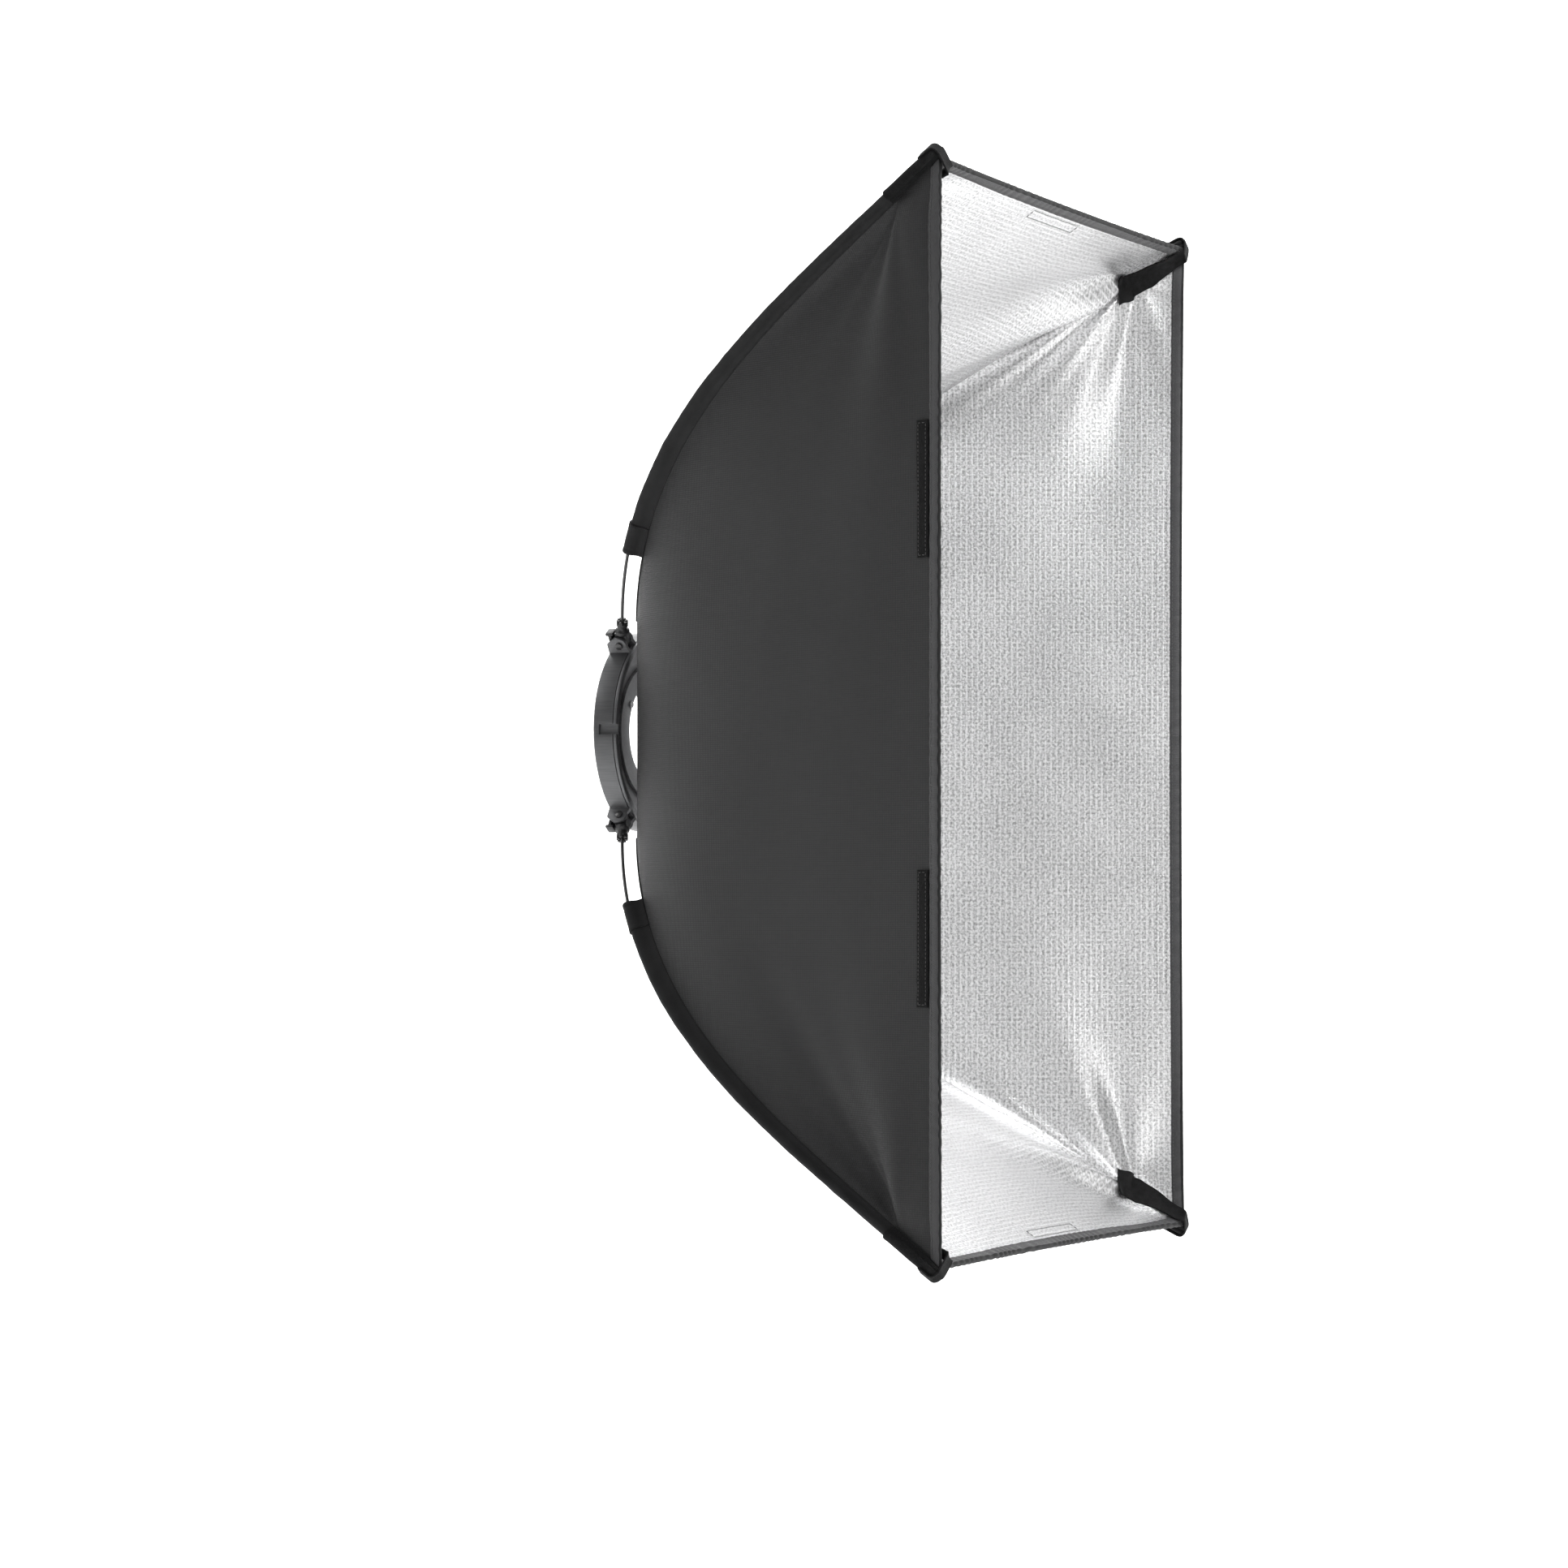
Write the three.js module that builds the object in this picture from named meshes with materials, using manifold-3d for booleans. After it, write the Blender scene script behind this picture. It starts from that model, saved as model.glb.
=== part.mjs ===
// Collapsible rectangular softbox: four bowed ribs hinged on a bayonet speed ring, with a
// fabric shell, sleeves along the ribs, bound front edges and hook-and-loop strips.
// Millimetres, +Z up. The light leaves towards -Y, the box's long side stands along Z, and the
// origin is the centre of the face that seats on the light.

import * as THREE from 'three';
import { mergeVertices } from 'three/addons/utils/BufferGeometryUtils.js';
import Module from 'manifold-3d';

const wasm = await Module();
wasm.setup();

// ---------------------------------------------------------------------------
// Driving sizes

const BOX_WIDTH = 610; // between opposite rib tips along X
const BOX_HEIGHT = 914; // between opposite rib tips along Z
const BOX_DEPTH = 418; // seating face to the front edge of the fabric
const GAP = 0.3; // between two pieces that touch

const BAYONET_BORE = 43; // radius of the way for the light
const NECK_WALL = 4.5;
const NECK_LENGTH = 9; // reaches into the light
const LUG_COUNT = 3;
const LUG_RISE = 4;
const LUG_THICKNESS = 3.2;
const LUG_HALF_ANGLE = 0.22;
const FLANGE_OVERLAP = 12; // the flange beyond the hub
const FLANGE_THICKNESS = 4;
const HUB_WALL = 9; // the speed ring turns on the hub

const GLIDE_THICKNESS = 1.2;
const GLIDE_INSET = 1; // the glide ring's edge inside the flange's

const RING_RADIUS = 89;
const RING_WEB = 8; // the web that turns on the hub
const RING_REAR = 3; // rear edge of the drum in front of the seating face
const RING_RIM_WALL = 6;
const RING_RIM_RISE = 12.2; // the drum's front rim beyond its web
const RING_CHAMFER = 1.5;
const RING_RECESS_PLAY = 2; // around the flange
const GROOVE_DEPTH = 1.4;
const GROOVE_WIDTH = 0.8;
const GROOVE_FROM_RIM = 2.9;
const NOTCH_WIDTH = 9;
const NOTCH_DEPTH = 4;
const NOTCH_LENGTH = 17;

const RETAINER_OVERLAP = 8; // the retaining ring beyond the hub
const RETAINER_THICKNESS = 3;
const SCREW_COUNT = 3;
const SCREW_RADIUS = 1.5;
const SCREW_LENGTH = 8;
const SCREW_HEAD_RADIUS = 3;
const SCREW_HEAD_HEIGHT = 1.8;
const SCREW_SOCKET_RADIUS = 1.2;
const SCREW_SOCKET_DEPTH = 1;

const HINGE_CLEARANCE = 0.5; // between the drum and the tongue
const HINGE_FORWARD = 0.5; // hinge axis in front of the drum's middle
const EAR_MARGIN = 1; // the ear beyond the tongue
const EAR_THICKNESS = 3.6;
const TONGUE_THICKNESS = 9;
const TONGUE_RADIUS = 6;
const PIN_RADIUS = 2;
const PIN_HEAD_RADIUS = 3.4;
const PIN_HEAD_THICKNESS = 1.4;

const BARREL_RADIUS = 6.5;
const BARREL_LENGTH = 5.5;
const NECKED_RADIUS = 4;
const NECKED_LENGTH = 2.5;
const FERRULE_RADIUS = 5.2;
const FERRULE_LENGTH = 6;
const FERRULE_SLOTS = 3; // cuts right across, which leave six castles
const FERRULE_SLOT_WIDTH = 1.6;
const FERRULE_SLOT_DEPTH = 2.4;
const ROD_SEAT_DEPTH = 11; // how far the rod goes into the socket

const TAB_THICKNESS = 3;
const TAB_CLEARANCE = 1.5; // between the release tab and the tongue
const TAB_LENGTH = 9;
const TAB_PAD_HEIGHT = 7;
const TAB_PAD_THICKNESS = 2.5;
const SPRING_LENGTH = 5;
const SPRING_RADIUS = 1.9;
const SPRING_WIRE_RADIUS = 0.35;
const SPRING_TURNS = 4;

const ROD_RADIUS = 1.5;
const RIB_START_TILT = THREE.MathUtils.degToRad(14.5); // from the ring's plane towards the front
const RIB_END_TILT = THREE.MathUtils.degToRad(52.8);
const RIB_FULLNESS = 0.355; // bow of the rib: its handles over its chord
const TIP_INSET = 3.4; // rod's end inside the corner of the box
const TIP_SETBACK = 4; // rod's end behind the front edge

const CAP_WALL = 1.4; // beyond the rod, the gap included
const CAP_BITE = 10; // how far the tip cap goes over the rod
const CAP_NOSE = 2.6;

const CUFF_START = 96; // along the rib from the hinge
const CUFF_LENGTH = 28;
const CUFF_WALL = 1.4; // the cuff stands this far out from the sleeve
const SLEEVE_PLAY = 0.6; // around the rod
const SLEEVE_SIDE_WALL = 0.2;
const SLEEVE_OUTER_WALL = 0.9;
const SEAM_GAP = 1; // between the sleeve and the seam of two panels
const SEAM_REAR_OFFSET = 14; // from the rod's centre line to that seam, up to the cuff

const POCKET_LENGTH = 60;
const POCKET_PLAY = 0.4; // around the tip cap
const POCKET_SIDE_WALL = 1.3;
const POCKET_OUTER_WALL = 1.7;
const POCKET_INNER_WALL = 2.3;
const POCKET_NOSE = 4.2;
const STRAP_HALF_WIDTH = 7;
const STRAP_THICKNESS = 2;
const STRAP_CLEARANCE = 3.4; // between the inner strap's edge and the panels
const STRAP_LENGTH = 50;

const PANEL_THICKNESS = 1.5;
const PANEL_CLEARANCE = 4; // between the speed ring and the panels' rear edges
const MITRE_GAP = 0.6; // between two panels at their seam

const BINDING_WIDTH = 11;
const BINDING_WALL = 1.3;
const BINDING_NOSE = 2.2; // in front of the panel's edge
const BINDING_CLEARANCE = 7.4; // between its end and the corner pocket's strap

const STRIP_LENGTH = 112;
const STRIP_WIDTH = 13;
const STRIP_THICKNESS = 1.6;
const STRIP_FROM_BINDING = 1.2;
const SIDE_STRIP_SHARE = 0.4; // the two strips' centres are this share of the height apart

// ---------------------------------------------------------------------------
// Sizes worked out from them

const CORNER_ANGLE = Math.atan2(BOX_HEIGHT, BOX_WIDTH);
const CORNER_REACH = Math.hypot(BOX_WIDTH, BOX_HEIGHT) / 2;
const CORNER_SLOPE = Math.max(BOX_HEIGHT / BOX_WIDTH, BOX_WIDTH / BOX_HEIGHT);

const NECK_RADIUS = BAYONET_BORE + NECK_WALL;
const HUB_RADIUS = BAYONET_BORE + HUB_WALL;
const FLANGE_RADIUS = HUB_RADIUS + FLANGE_OVERLAP;
const GLIDE_RADIUS = FLANGE_RADIUS - GLIDE_INSET;
const RETAINER_RADIUS = HUB_RADIUS + RETAINER_OVERLAP;
const RING_RECESS_RADIUS = FLANGE_RADIUS + RING_RECESS_PLAY;
const WEB_BACK = FLANGE_THICKNESS + GAP + GLIDE_THICKNESS + GAP;
const HUB_FRONT = WEB_BACK + RING_WEB;
const RING_FRONT = HUB_FRONT + RING_RIM_RISE;
const PANEL_REAR = RING_FRONT + PANEL_CLEARANCE;

const HINGE_REACH = RING_RADIUS + TONGUE_RADIUS + HINGE_CLEARANCE;
const HINGE_SETBACK = (RING_REAR + RING_FRONT) / 2 + HINGE_FORWARD;
const EAR_RADIUS = TONGUE_RADIUS + EAR_MARGIN;
const EAR_GAP = TONGUE_THICKNESS / 2 + GAP;
const TAB_SETBACK = HINGE_SETBACK - TONGUE_RADIUS - TAB_CLEARANCE - TAB_THICKNESS;
const SCREW_CIRCLE = (BAYONET_BORE + HUB_RADIUS) / 2;
const SCREW_HOLE_RADIUS = SCREW_RADIUS + GAP;
const BARREL_START = EAR_RADIUS + 1;
const SOCKET_END = BARREL_START + BARREL_LENGTH + NECKED_LENGTH + FERRULE_LENGTH;
const ROD_START = SOCKET_END - ROD_SEAT_DEPTH;

const CAP_RADIUS = ROD_RADIUS + CAP_WALL;
const SLEEVE_TUNNEL_RADIUS = ROD_RADIUS + SLEEVE_PLAY;
const SLEEVE_HALF_WIDTH = SLEEVE_TUNNEL_RADIUS + SLEEVE_SIDE_WALL;
const SLEEVE_OUTSIDE = SLEEVE_TUNNEL_RADIUS + SLEEVE_OUTER_WALL;
const POCKET_TUNNEL_RADIUS = CAP_RADIUS + POCKET_PLAY;
const POCKET_HALF_WIDTH = POCKET_TUNNEL_RADIUS + POCKET_SIDE_WALL;
const POCKET_OUTSIDE = POCKET_TUNNEL_RADIUS + POCKET_OUTER_WALL;
const SEAM_TIP_OFFSET = POCKET_TUNNEL_RADIUS + POCKET_INNER_WALL + SEAM_GAP; // as at the rear
const STRAP_OFFSET = SEAM_TIP_OFFSET + STRAP_HALF_WIDTH * CORNER_SLOPE + STRAP_CLEARANCE;
const BINDING_END_CLEARANCE = STRAP_HALF_WIDTH * Math.hypot(1, CORNER_SLOPE) + BINDING_CLEARANCE;
const SIDE_STRIP_SPACING = SIDE_STRIP_SHARE * BOX_HEIGHT;

const CORNERS = [
  { name: 'upper_right', x: 1, z: 1 },
  { name: 'upper_left', x: -1, z: 1 },
  { name: 'lower_right', x: 1, z: -1 },
  { name: 'lower_left', x: -1, z: -1 },
];

// ---------------------------------------------------------------------------
// Materials

function finish(color, roughness, metalness = 0) {
  return new THREE.MeshStandardMaterial({ color, roughness, metalness });
}

const MATERIALS = {
  alloy: finish(0x2a2b2d, 0.45, 0.6),
  plastic: finish(0x161617, 0.5),
  steel: finish(0x8c8f94, 0.35, 0.9),
  rod: finish(0x3a3a3b, 0.4, 0.5),
  rubber: finish(0x101010, 0.8),
  fabric: finish(0x303032, 0.9),
  trim: finish(0x18181a, 0.95),
  webbing: finish(0x121213, 1.0),
};

// ---------------------------------------------------------------------------
// Solids

// Turns a closed three.js geometry into a solid whose faces point out.
function solid(geometry) {
  const bare = geometry.clone();
  for (const name of Object.keys(bare.attributes)) {
    if (name !== 'position') bare.deleteAttribute(name);
  }
  const merged = mergeVertices(bare, 1e-4);
  const position = merged.attributes.position;
  const index = merged.index.array;
  const corner = [0, 1, 2].map(() => new THREE.Vector3());
  const triangles = [];
  let volume = 0;
  for (let i = 0; i < index.length; i += 3) {
    const [a, b, c] = [index[i], index[i + 1], index[i + 2]];
    if (a === b || b === c || c === a) continue;
    triangles.push(a, b, c);
    [a, b, c].forEach((vertex, k) => corner[k].fromBufferAttribute(position, vertex));
    volume += corner[0].dot(corner[1].cross(corner[2]));
  }
  if (volume < 0) triangles.reverse();
  return new wasm.Manifold(
    new wasm.Mesh({
      numProp: 3,
      vertProperties: new Float32Array(position.array),
      triVerts: new Uint32Array(triangles),
    }),
  );
}

function join(first, ...others) {
  return others.reduce((sum, next) => sum.add(next), first);
}

function cut(first, ...others) {
  return others.reduce((rest, next) => rest.subtract(next), first);
}

const model = new THREE.Group();

// Adds a solid to the model as a named mesh. A placed piece is held by a group.
function addPiece(name, shape, material, placement = null) {
  const mesh = shape.getMesh();
  const geometry = new THREE.BufferGeometry();
  geometry.setAttribute('position', new THREE.BufferAttribute(mesh.vertProperties, 3));
  geometry.setIndex(new THREE.BufferAttribute(mesh.triVerts, 1));
  geometry.computeVertexNormals();
  const piece = new THREE.Mesh(geometry, MATERIALS[material].clone());
  piece.name = name;
  (placement ?? model).add(piece);
}

// ---------------------------------------------------------------------------
// Shapes

function polygon(points) {
  return new THREE.Shape(points.map(([x, y]) => new THREE.Vector2(x, y)));
}

// A solid turned about the Y axis. The profile closes on itself.
function turned(profile, segments = 48) {
  const points = [...profile, profile[0]].map(([r, y]) => new THREE.Vector2(r, y));
  return solid(new THREE.LatheGeometry(points, segments));
}

// A washer or a disc about the Y axis, between two heights.
function disc(outer, inner, low, high, segments = 48) {
  return turned([[inner, low], [outer, low], [outer, high], [inner, high]], segments);
}

// A flat outline in XY, made thick along Z and centred on z.
function slab(shape, thickness, z = 0, curveSegments = 8) {
  const geometry = new THREE.ExtrudeGeometry(shape, {
    depth: thickness,
    bevelEnabled: false,
    curveSegments,
  });
  return solid(geometry.translate(0, 0, z - thickness / 2));
}

// A section swept along a curve. In the rib's plane, the section's y points into the box.
function swept(section, path, steps, curveSegments = 4) {
  return solid(
    new THREE.ExtrudeGeometry(section, { extrudePath: path, steps, curveSegments }),
  );
}

function circleSection(radius) {
  return new THREE.Shape().absarc(0, 0, radius, 0, 2 * Math.PI);
}

// ---------------------------------------------------------------------------
// The rib's line, in its own plane: x from the centre line out to the corner, y to the front

const RIB_START = new THREE.Vector3(HINGE_REACH, HINGE_SETBACK, 0);
const RIB_DIRECTION = new THREE.Vector3(Math.cos(RIB_START_TILT), Math.sin(RIB_START_TILT), 0);

function ribLine() {
  const leadEnd = RIB_START.clone().addScaledVector(RIB_DIRECTION, SOCKET_END + 1);
  const tip = new THREE.Vector3(CORNER_REACH - TIP_INSET, BOX_DEPTH - TIP_SETBACK, 0);
  const handle = RIB_FULLNESS * tip.distanceTo(leadEnd);
  const arrival = new THREE.Vector3(Math.cos(RIB_END_TILT), Math.sin(RIB_END_TILT), 0);
  const line = new THREE.CurvePath();
  line.arcLengthDivisions = 400;
  line.add(new THREE.LineCurve3(RIB_START, leadEnd));
  line.add(
    new THREE.CubicBezierCurve3(
      leadEnd,
      leadEnd.clone().addScaledVector(RIB_DIRECTION, handle),
      tip.clone().addScaledVector(arrival, -handle),
      tip,
    ),
  );
  return line;
}

// Part of a line, from one distance along it to another, moved into the box by an offset that
// may change along the line.
class Stretch extends THREE.Curve {
  constructor(line, from, to, offset) {
    super();
    Object.assign(this, { line, from, to, offset });
  }

  getPoint(share, target = new THREE.Vector3()) {
    const along = this.from + share * (this.to - this.from);
    const [lead, bow] = this.line.curves;
    const leadLength = lead.getLength();
    const piece = along <= leadLength ? lead : bow;
    const before = along <= leadLength ? 0 : leadLength;
    const beyond = Math.max(0, along - before - piece.getLength());
    const u = Math.min(1, (along - before) / piece.getLength());
    const tangent = piece.getTangentAt(u);
    const inward = new THREE.Vector3(-tangent.y, tangent.x, 0);
    target.copy(piece.getPointAt(u)).addScaledVector(tangent, beyond);
    return target.addScaledVector(inward, this.offset(along));
  }
}

const RIB = ribLine();
const RIB_LENGTH = RIB.curves.reduce((sum, curve) => sum + curve.getLength(), 0);

function ribStretch(from, to, offset = () => 0) {
  return new Stretch(RIB, from, to, offset);
}

// From the rod's centre line to the panels' seam, at a distance along the rib.
function seamOffset(along) {
  const tapered = CUFF_START + CUFF_LENGTH;
  const share = Math.max(0, (along - tapered) / (RIB_LENGTH - tapered));
  return SEAM_REAR_OFFSET + share * (SEAM_TIP_OFFSET - SEAM_REAR_OFFSET);
}

// How far along the rib its seam line, offset into the box, reaches a given depth.
function seamAtDepth(depth) {
  const seam = ribStretch(0, 1.1 * RIB_LENGTH, seamOffset);
  let [low, high] = [0, 1];
  for (let i = 0; i < 40; i += 1) {
    const middle = (low + high) / 2;
    if (seam.getPoint(middle).y < depth) low = middle;
    else high = middle;
  }
  return low * 1.1 * RIB_LENGTH;
}

// The group that holds a corner's pieces: the rib's plane turned to the box's diagonal.
function cornerGroup(corner) {
  const out = new THREE.Vector3(
    corner.x * Math.cos(CORNER_ANGLE),
    0,
    corner.z * Math.sin(CORNER_ANGLE),
  );
  const front = new THREE.Vector3(0, -1, 0);
  const across = new THREE.Vector3().crossVectors(out, front);
  const group = new THREE.Group();
  group.applyMatrix4(new THREE.Matrix4().makeBasis(out, front, across));
  model.add(group);
  return group;
}

// The same turn, for a solid that is joined to a piece outside the corner's group.
function turnedToCorner(shape, corner) {
  const [cos, sin] = [Math.cos(CORNER_ANGLE), Math.sin(CORNER_ANGLE)];
  const out = [corner.x * cos, 0, corner.z * sin, 0];
  const across = [corner.z * sin, 0, -corner.x * cos, 0];
  return shape.transform([...out, 0, -1, 0, 0, ...across, 0, 0, 0, 1]);
}

// ---------------------------------------------------------------------------
// Bayonet and speed ring. Their profiles give radius and y, and the front is towards -y.

function bayonetInsert() {
  let insert = turned([
    [BAYONET_BORE, -HUB_FRONT],
    [HUB_RADIUS, -HUB_FRONT],
    [HUB_RADIUS, -FLANGE_THICKNESS],
    [FLANGE_RADIUS, -FLANGE_THICKNESS],
    [FLANGE_RADIUS, 0],
    [NECK_RADIUS, 0],
    [NECK_RADIUS, NECK_LENGTH],
    [BAYONET_BORE, NECK_LENGTH],
  ]);
  const lug = new THREE.Shape();
  lug.absarc(0, 0, NECK_RADIUS + LUG_RISE, -LUG_HALF_ANGLE, LUG_HALF_ANGLE);
  lug.absarc(0, 0, NECK_RADIUS - 1, LUG_HALF_ANGLE, -LUG_HALF_ANGLE, true);
  for (let i = 0; i < LUG_COUNT; i += 1) {
    const turn = 90 + (360 / LUG_COUNT) * i;
    const raised = slab(lug, LUG_THICKNESS).rotate([0, 0, turn]).rotate([90, 0, 0]);
    insert = join(insert, raised.translate([0, NECK_LENGTH - LUG_THICKNESS / 2, 0]));
  }
  for (let i = 0; i < SCREW_COUNT; i += 1) {
    insert = cut(insert, screwHole(i));
  }
  return insert;
}

// Places a shape made about the Y axis at one of the retaining screws.
function atScrew(shape, i) {
  const angle = (2 * Math.PI * (i + 0.5)) / SCREW_COUNT;
  return shape.translate([SCREW_CIRCLE * Math.sin(angle), 0, SCREW_CIRCLE * Math.cos(angle)]);
}

function screwHole(i) {
  const front = HUB_FRONT + GAP + RETAINER_THICKNESS;
  const hole = turned(
    [
      [0, -front - 1],
      [SCREW_HOLE_RADIUS, -front - 1],
      [SCREW_HOLE_RADIUS, -front + SCREW_LENGTH + 2 * GAP],
      [0, -front + SCREW_LENGTH + 2 * GAP],
    ],
    12,
  );
  return atScrew(hole, i);
}

function retainingScrew(i) {
  const seat = -(HUB_FRONT + GAP + RETAINER_THICKNESS + GAP);
  const top = seat - SCREW_HEAD_HEIGHT;
  const screw = turned(
    [
      [0, top + SCREW_SOCKET_DEPTH],
      [SCREW_SOCKET_RADIUS, top + SCREW_SOCKET_DEPTH],
      [SCREW_SOCKET_RADIUS, top],
      [SCREW_HEAD_RADIUS, top],
      [SCREW_HEAD_RADIUS, seat],
      [SCREW_RADIUS, seat],
      [SCREW_RADIUS, seat + SCREW_LENGTH],
      [0, seat + SCREW_LENGTH],
    ],
    12,
  );
  return atScrew(screw, i);
}

function retainingRing() {
  const front = -(HUB_FRONT + GAP + RETAINER_THICKNESS);
  let ring = disc(RETAINER_RADIUS, BAYONET_BORE, front, -(HUB_FRONT + GAP));
  for (let i = 0; i < SCREW_COUNT; i += 1) {
    ring = cut(ring, screwHole(i));
  }
  return ring;
}

function glideRing() {
  const back = -(FLANGE_THICKNESS + GAP);
  return disc(GLIDE_RADIUS, HUB_RADIUS + GAP, back - GLIDE_THICKNESS, back);
}

// One ear of a hinge, drawn in the rib's plane.
function earShape() {
  const root = RING_RADIUS - RING_RIM_WALL / 2;
  const back = RING_REAR + 0.5;
  const shape = new THREE.Shape();
  shape.moveTo(root, back);
  shape.lineTo(HINGE_REACH + EAR_RADIUS * 0.3, back);
  shape.lineTo(HINGE_REACH + EAR_RADIUS, back + EAR_RADIUS);
  shape.absarc(HINGE_REACH, HINGE_SETBACK, EAR_RADIUS, 0, 0.6 * Math.PI);
  shape.lineTo(root, RING_FRONT - 1);
  return shape;
}

function pinBore(radius) {
  const bore = new THREE.Shape();
  bore.absarc(HINGE_REACH, HINGE_SETBACK, radius, 0, 2 * Math.PI);
  return slab(bore, 4 * (EAR_GAP + EAR_THICKNESS));
}

function speedRing() {
  const groove = -RING_FRONT + GROOVE_FROM_RIM;
  let ring = turned(
    [
      [HUB_RADIUS + GAP, -HUB_FRONT],
      [RING_RADIUS - RING_RIM_WALL, -HUB_FRONT],
      [RING_RADIUS - RING_RIM_WALL, -RING_FRONT],
      [RING_RADIUS - 0.6, -RING_FRONT],
      [RING_RADIUS, -RING_FRONT + 0.6],
      [RING_RADIUS, groove],
      [RING_RADIUS - GROOVE_DEPTH, groove],
      [RING_RADIUS - GROOVE_DEPTH, groove + GROOVE_WIDTH],
      [RING_RADIUS, groove + GROOVE_WIDTH],
      [RING_RADIUS, -RING_REAR - RING_CHAMFER],
      [RING_RADIUS - RING_CHAMFER, -RING_REAR],
      [RING_RECESS_RADIUS, -RING_REAR],
      [RING_RECESS_RADIUS, -WEB_BACK],
      [HUB_RADIUS + GAP, -WEB_BACK],
    ],
    64,
  );
  const notch = new THREE.BoxGeometry(2 * NOTCH_DEPTH, 2 * NOTCH_LENGTH, NOTCH_WIDTH);
  for (const x of [-RING_RADIUS, RING_RADIUS]) {
    ring = cut(ring, solid(notch).translate([x, -RING_FRONT, 0]));
  }
  const offset = EAR_GAP + EAR_THICKNESS / 2;
  const ears = [-offset, offset].map((z) => slab(earShape(), EAR_THICKNESS, z));
  const pair = cut(join(...ears), pinBore(PIN_RADIUS + GAP));
  for (const corner of CORNERS) {
    ring = join(ring, turnedToCorner(pair, corner));
  }
  return ring;
}

// ---------------------------------------------------------------------------
// Hinge, socket and release tab, in the rib's plane

// Stands a shape made about the Y axis along the rib, a distance from the hinge.
function alongRib(shape, distance) {
  const place = RIB_START.clone().addScaledVector(RIB_DIRECTION, distance);
  const turn = THREE.MathUtils.radToDeg(RIB_START_TILT) - 90;
  return shape.rotate([0, 0, turn]).translate(place.toArray());
}

function rodSocket() {
  const tongue = new THREE.Shape();
  tongue.absarc(0, 0, TONGUE_RADIUS, Math.PI / 2, 1.5 * Math.PI);
  tongue.lineTo(BARREL_START + 1, -TONGUE_RADIUS + 1);
  tongue.lineTo(BARREL_START + 1, TONGUE_RADIUS - 1);
  const blade = slab(tongue, TONGUE_THICKNESS).rotate([0, 0, 90]);
  const neckAt = BARREL_START + BARREL_LENGTH;
  const ferruleAt = neckAt + NECKED_LENGTH;
  const barrel = turned(
    [
      [0, BARREL_START],
      [BARREL_RADIUS - 1, BARREL_START],
      [BARREL_RADIUS, BARREL_START + 1],
      [BARREL_RADIUS, neckAt - 1.5],
      [NECKED_RADIUS, neckAt],
      [NECKED_RADIUS, ferruleAt],
      [FERRULE_RADIUS, ferruleAt + 0.8],
      [FERRULE_RADIUS, SOCKET_END],
      [ROD_RADIUS + GAP, SOCKET_END],
      [ROD_RADIUS + GAP, ROD_START - GAP],
      [0, ROD_START - GAP],
    ],
    24,
  );
  let socket = join(alongRib(blade, 0), alongRib(barrel, 0));
  const slot = new THREE.BoxGeometry(
    4 * FERRULE_RADIUS,
    2 * FERRULE_SLOT_DEPTH,
    FERRULE_SLOT_WIDTH,
  );
  for (let i = 0; i < FERRULE_SLOTS; i += 1) {
    const across = solid(slot).rotate([0, (180 / FERRULE_SLOTS) * i, 0]);
    socket = cut(socket, alongRib(across, SOCKET_END));
  }
  return cut(socket, pinBore(PIN_RADIUS + GAP));
}

function hingePin() {
  const seat = EAR_GAP + EAR_THICKNESS + GAP;
  const pin = turned(
    [
      [0, -seat - PIN_HEAD_THICKNESS],
      [PIN_HEAD_RADIUS, -seat - PIN_HEAD_THICKNESS],
      [PIN_HEAD_RADIUS, -seat],
      [PIN_RADIUS, -seat],
      [PIN_RADIUS, seat],
      [PIN_HEAD_RADIUS, seat],
      [PIN_HEAD_RADIUS, seat + PIN_HEAD_THICKNESS],
      [0, seat + PIN_HEAD_THICKNESS],
    ],
    16,
  );
  return pin.rotate([90, 0, 0]).translate([HINGE_REACH, HINGE_SETBACK, 0]);
}

const TAB_INNER_END = RING_RADIUS + 2 * GAP + SPRING_LENGTH;

// Slides towards the centre line between the ears, against its spring.
function releaseTab() {
  const outer = TAB_INNER_END + TAB_LENGTH;
  const middle = TAB_SETBACK + TAB_THICKNESS / 2;
  const outline = polygon([
    [TAB_INNER_END, TAB_SETBACK],
    [outer, TAB_SETBACK],
    [outer, middle - TAB_PAD_HEIGHT / 2],
    [outer + TAB_PAD_THICKNESS, middle - TAB_PAD_HEIGHT / 2],
    [outer + TAB_PAD_THICKNESS, middle + TAB_PAD_HEIGHT / 2],
    [outer, middle + TAB_PAD_HEIGHT / 2],
    [outer, TAB_SETBACK + TAB_THICKNESS],
    [TAB_INNER_END, TAB_SETBACK + TAB_THICKNESS],
  ]);
  return slab(outline, TONGUE_THICKNESS);
}

class Helix extends THREE.Curve {
  getPoint(share, target = new THREE.Vector3()) {
    const angle = 2 * Math.PI * SPRING_TURNS * share;
    const run = SPRING_LENGTH - 2 * SPRING_WIRE_RADIUS;
    return target.set(
      RING_RADIUS + GAP + SPRING_WIRE_RADIUS + run * share,
      TAB_SETBACK + TAB_THICKNESS / 2 + SPRING_RADIUS * Math.cos(angle),
      SPRING_RADIUS * Math.sin(angle),
    );
  }
}

function latchSpring() {
  return swept(circleSection(SPRING_WIRE_RADIUS), new Helix(), 8 * SPRING_TURNS, 3);
}

// ---------------------------------------------------------------------------
// Rib, sleeve and corner pocket, in the rib's plane

function ribRod() {
  return swept(circleSection(ROD_RADIUS), ribStretch(ROD_START, RIB_LENGTH), 34);
}

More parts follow.
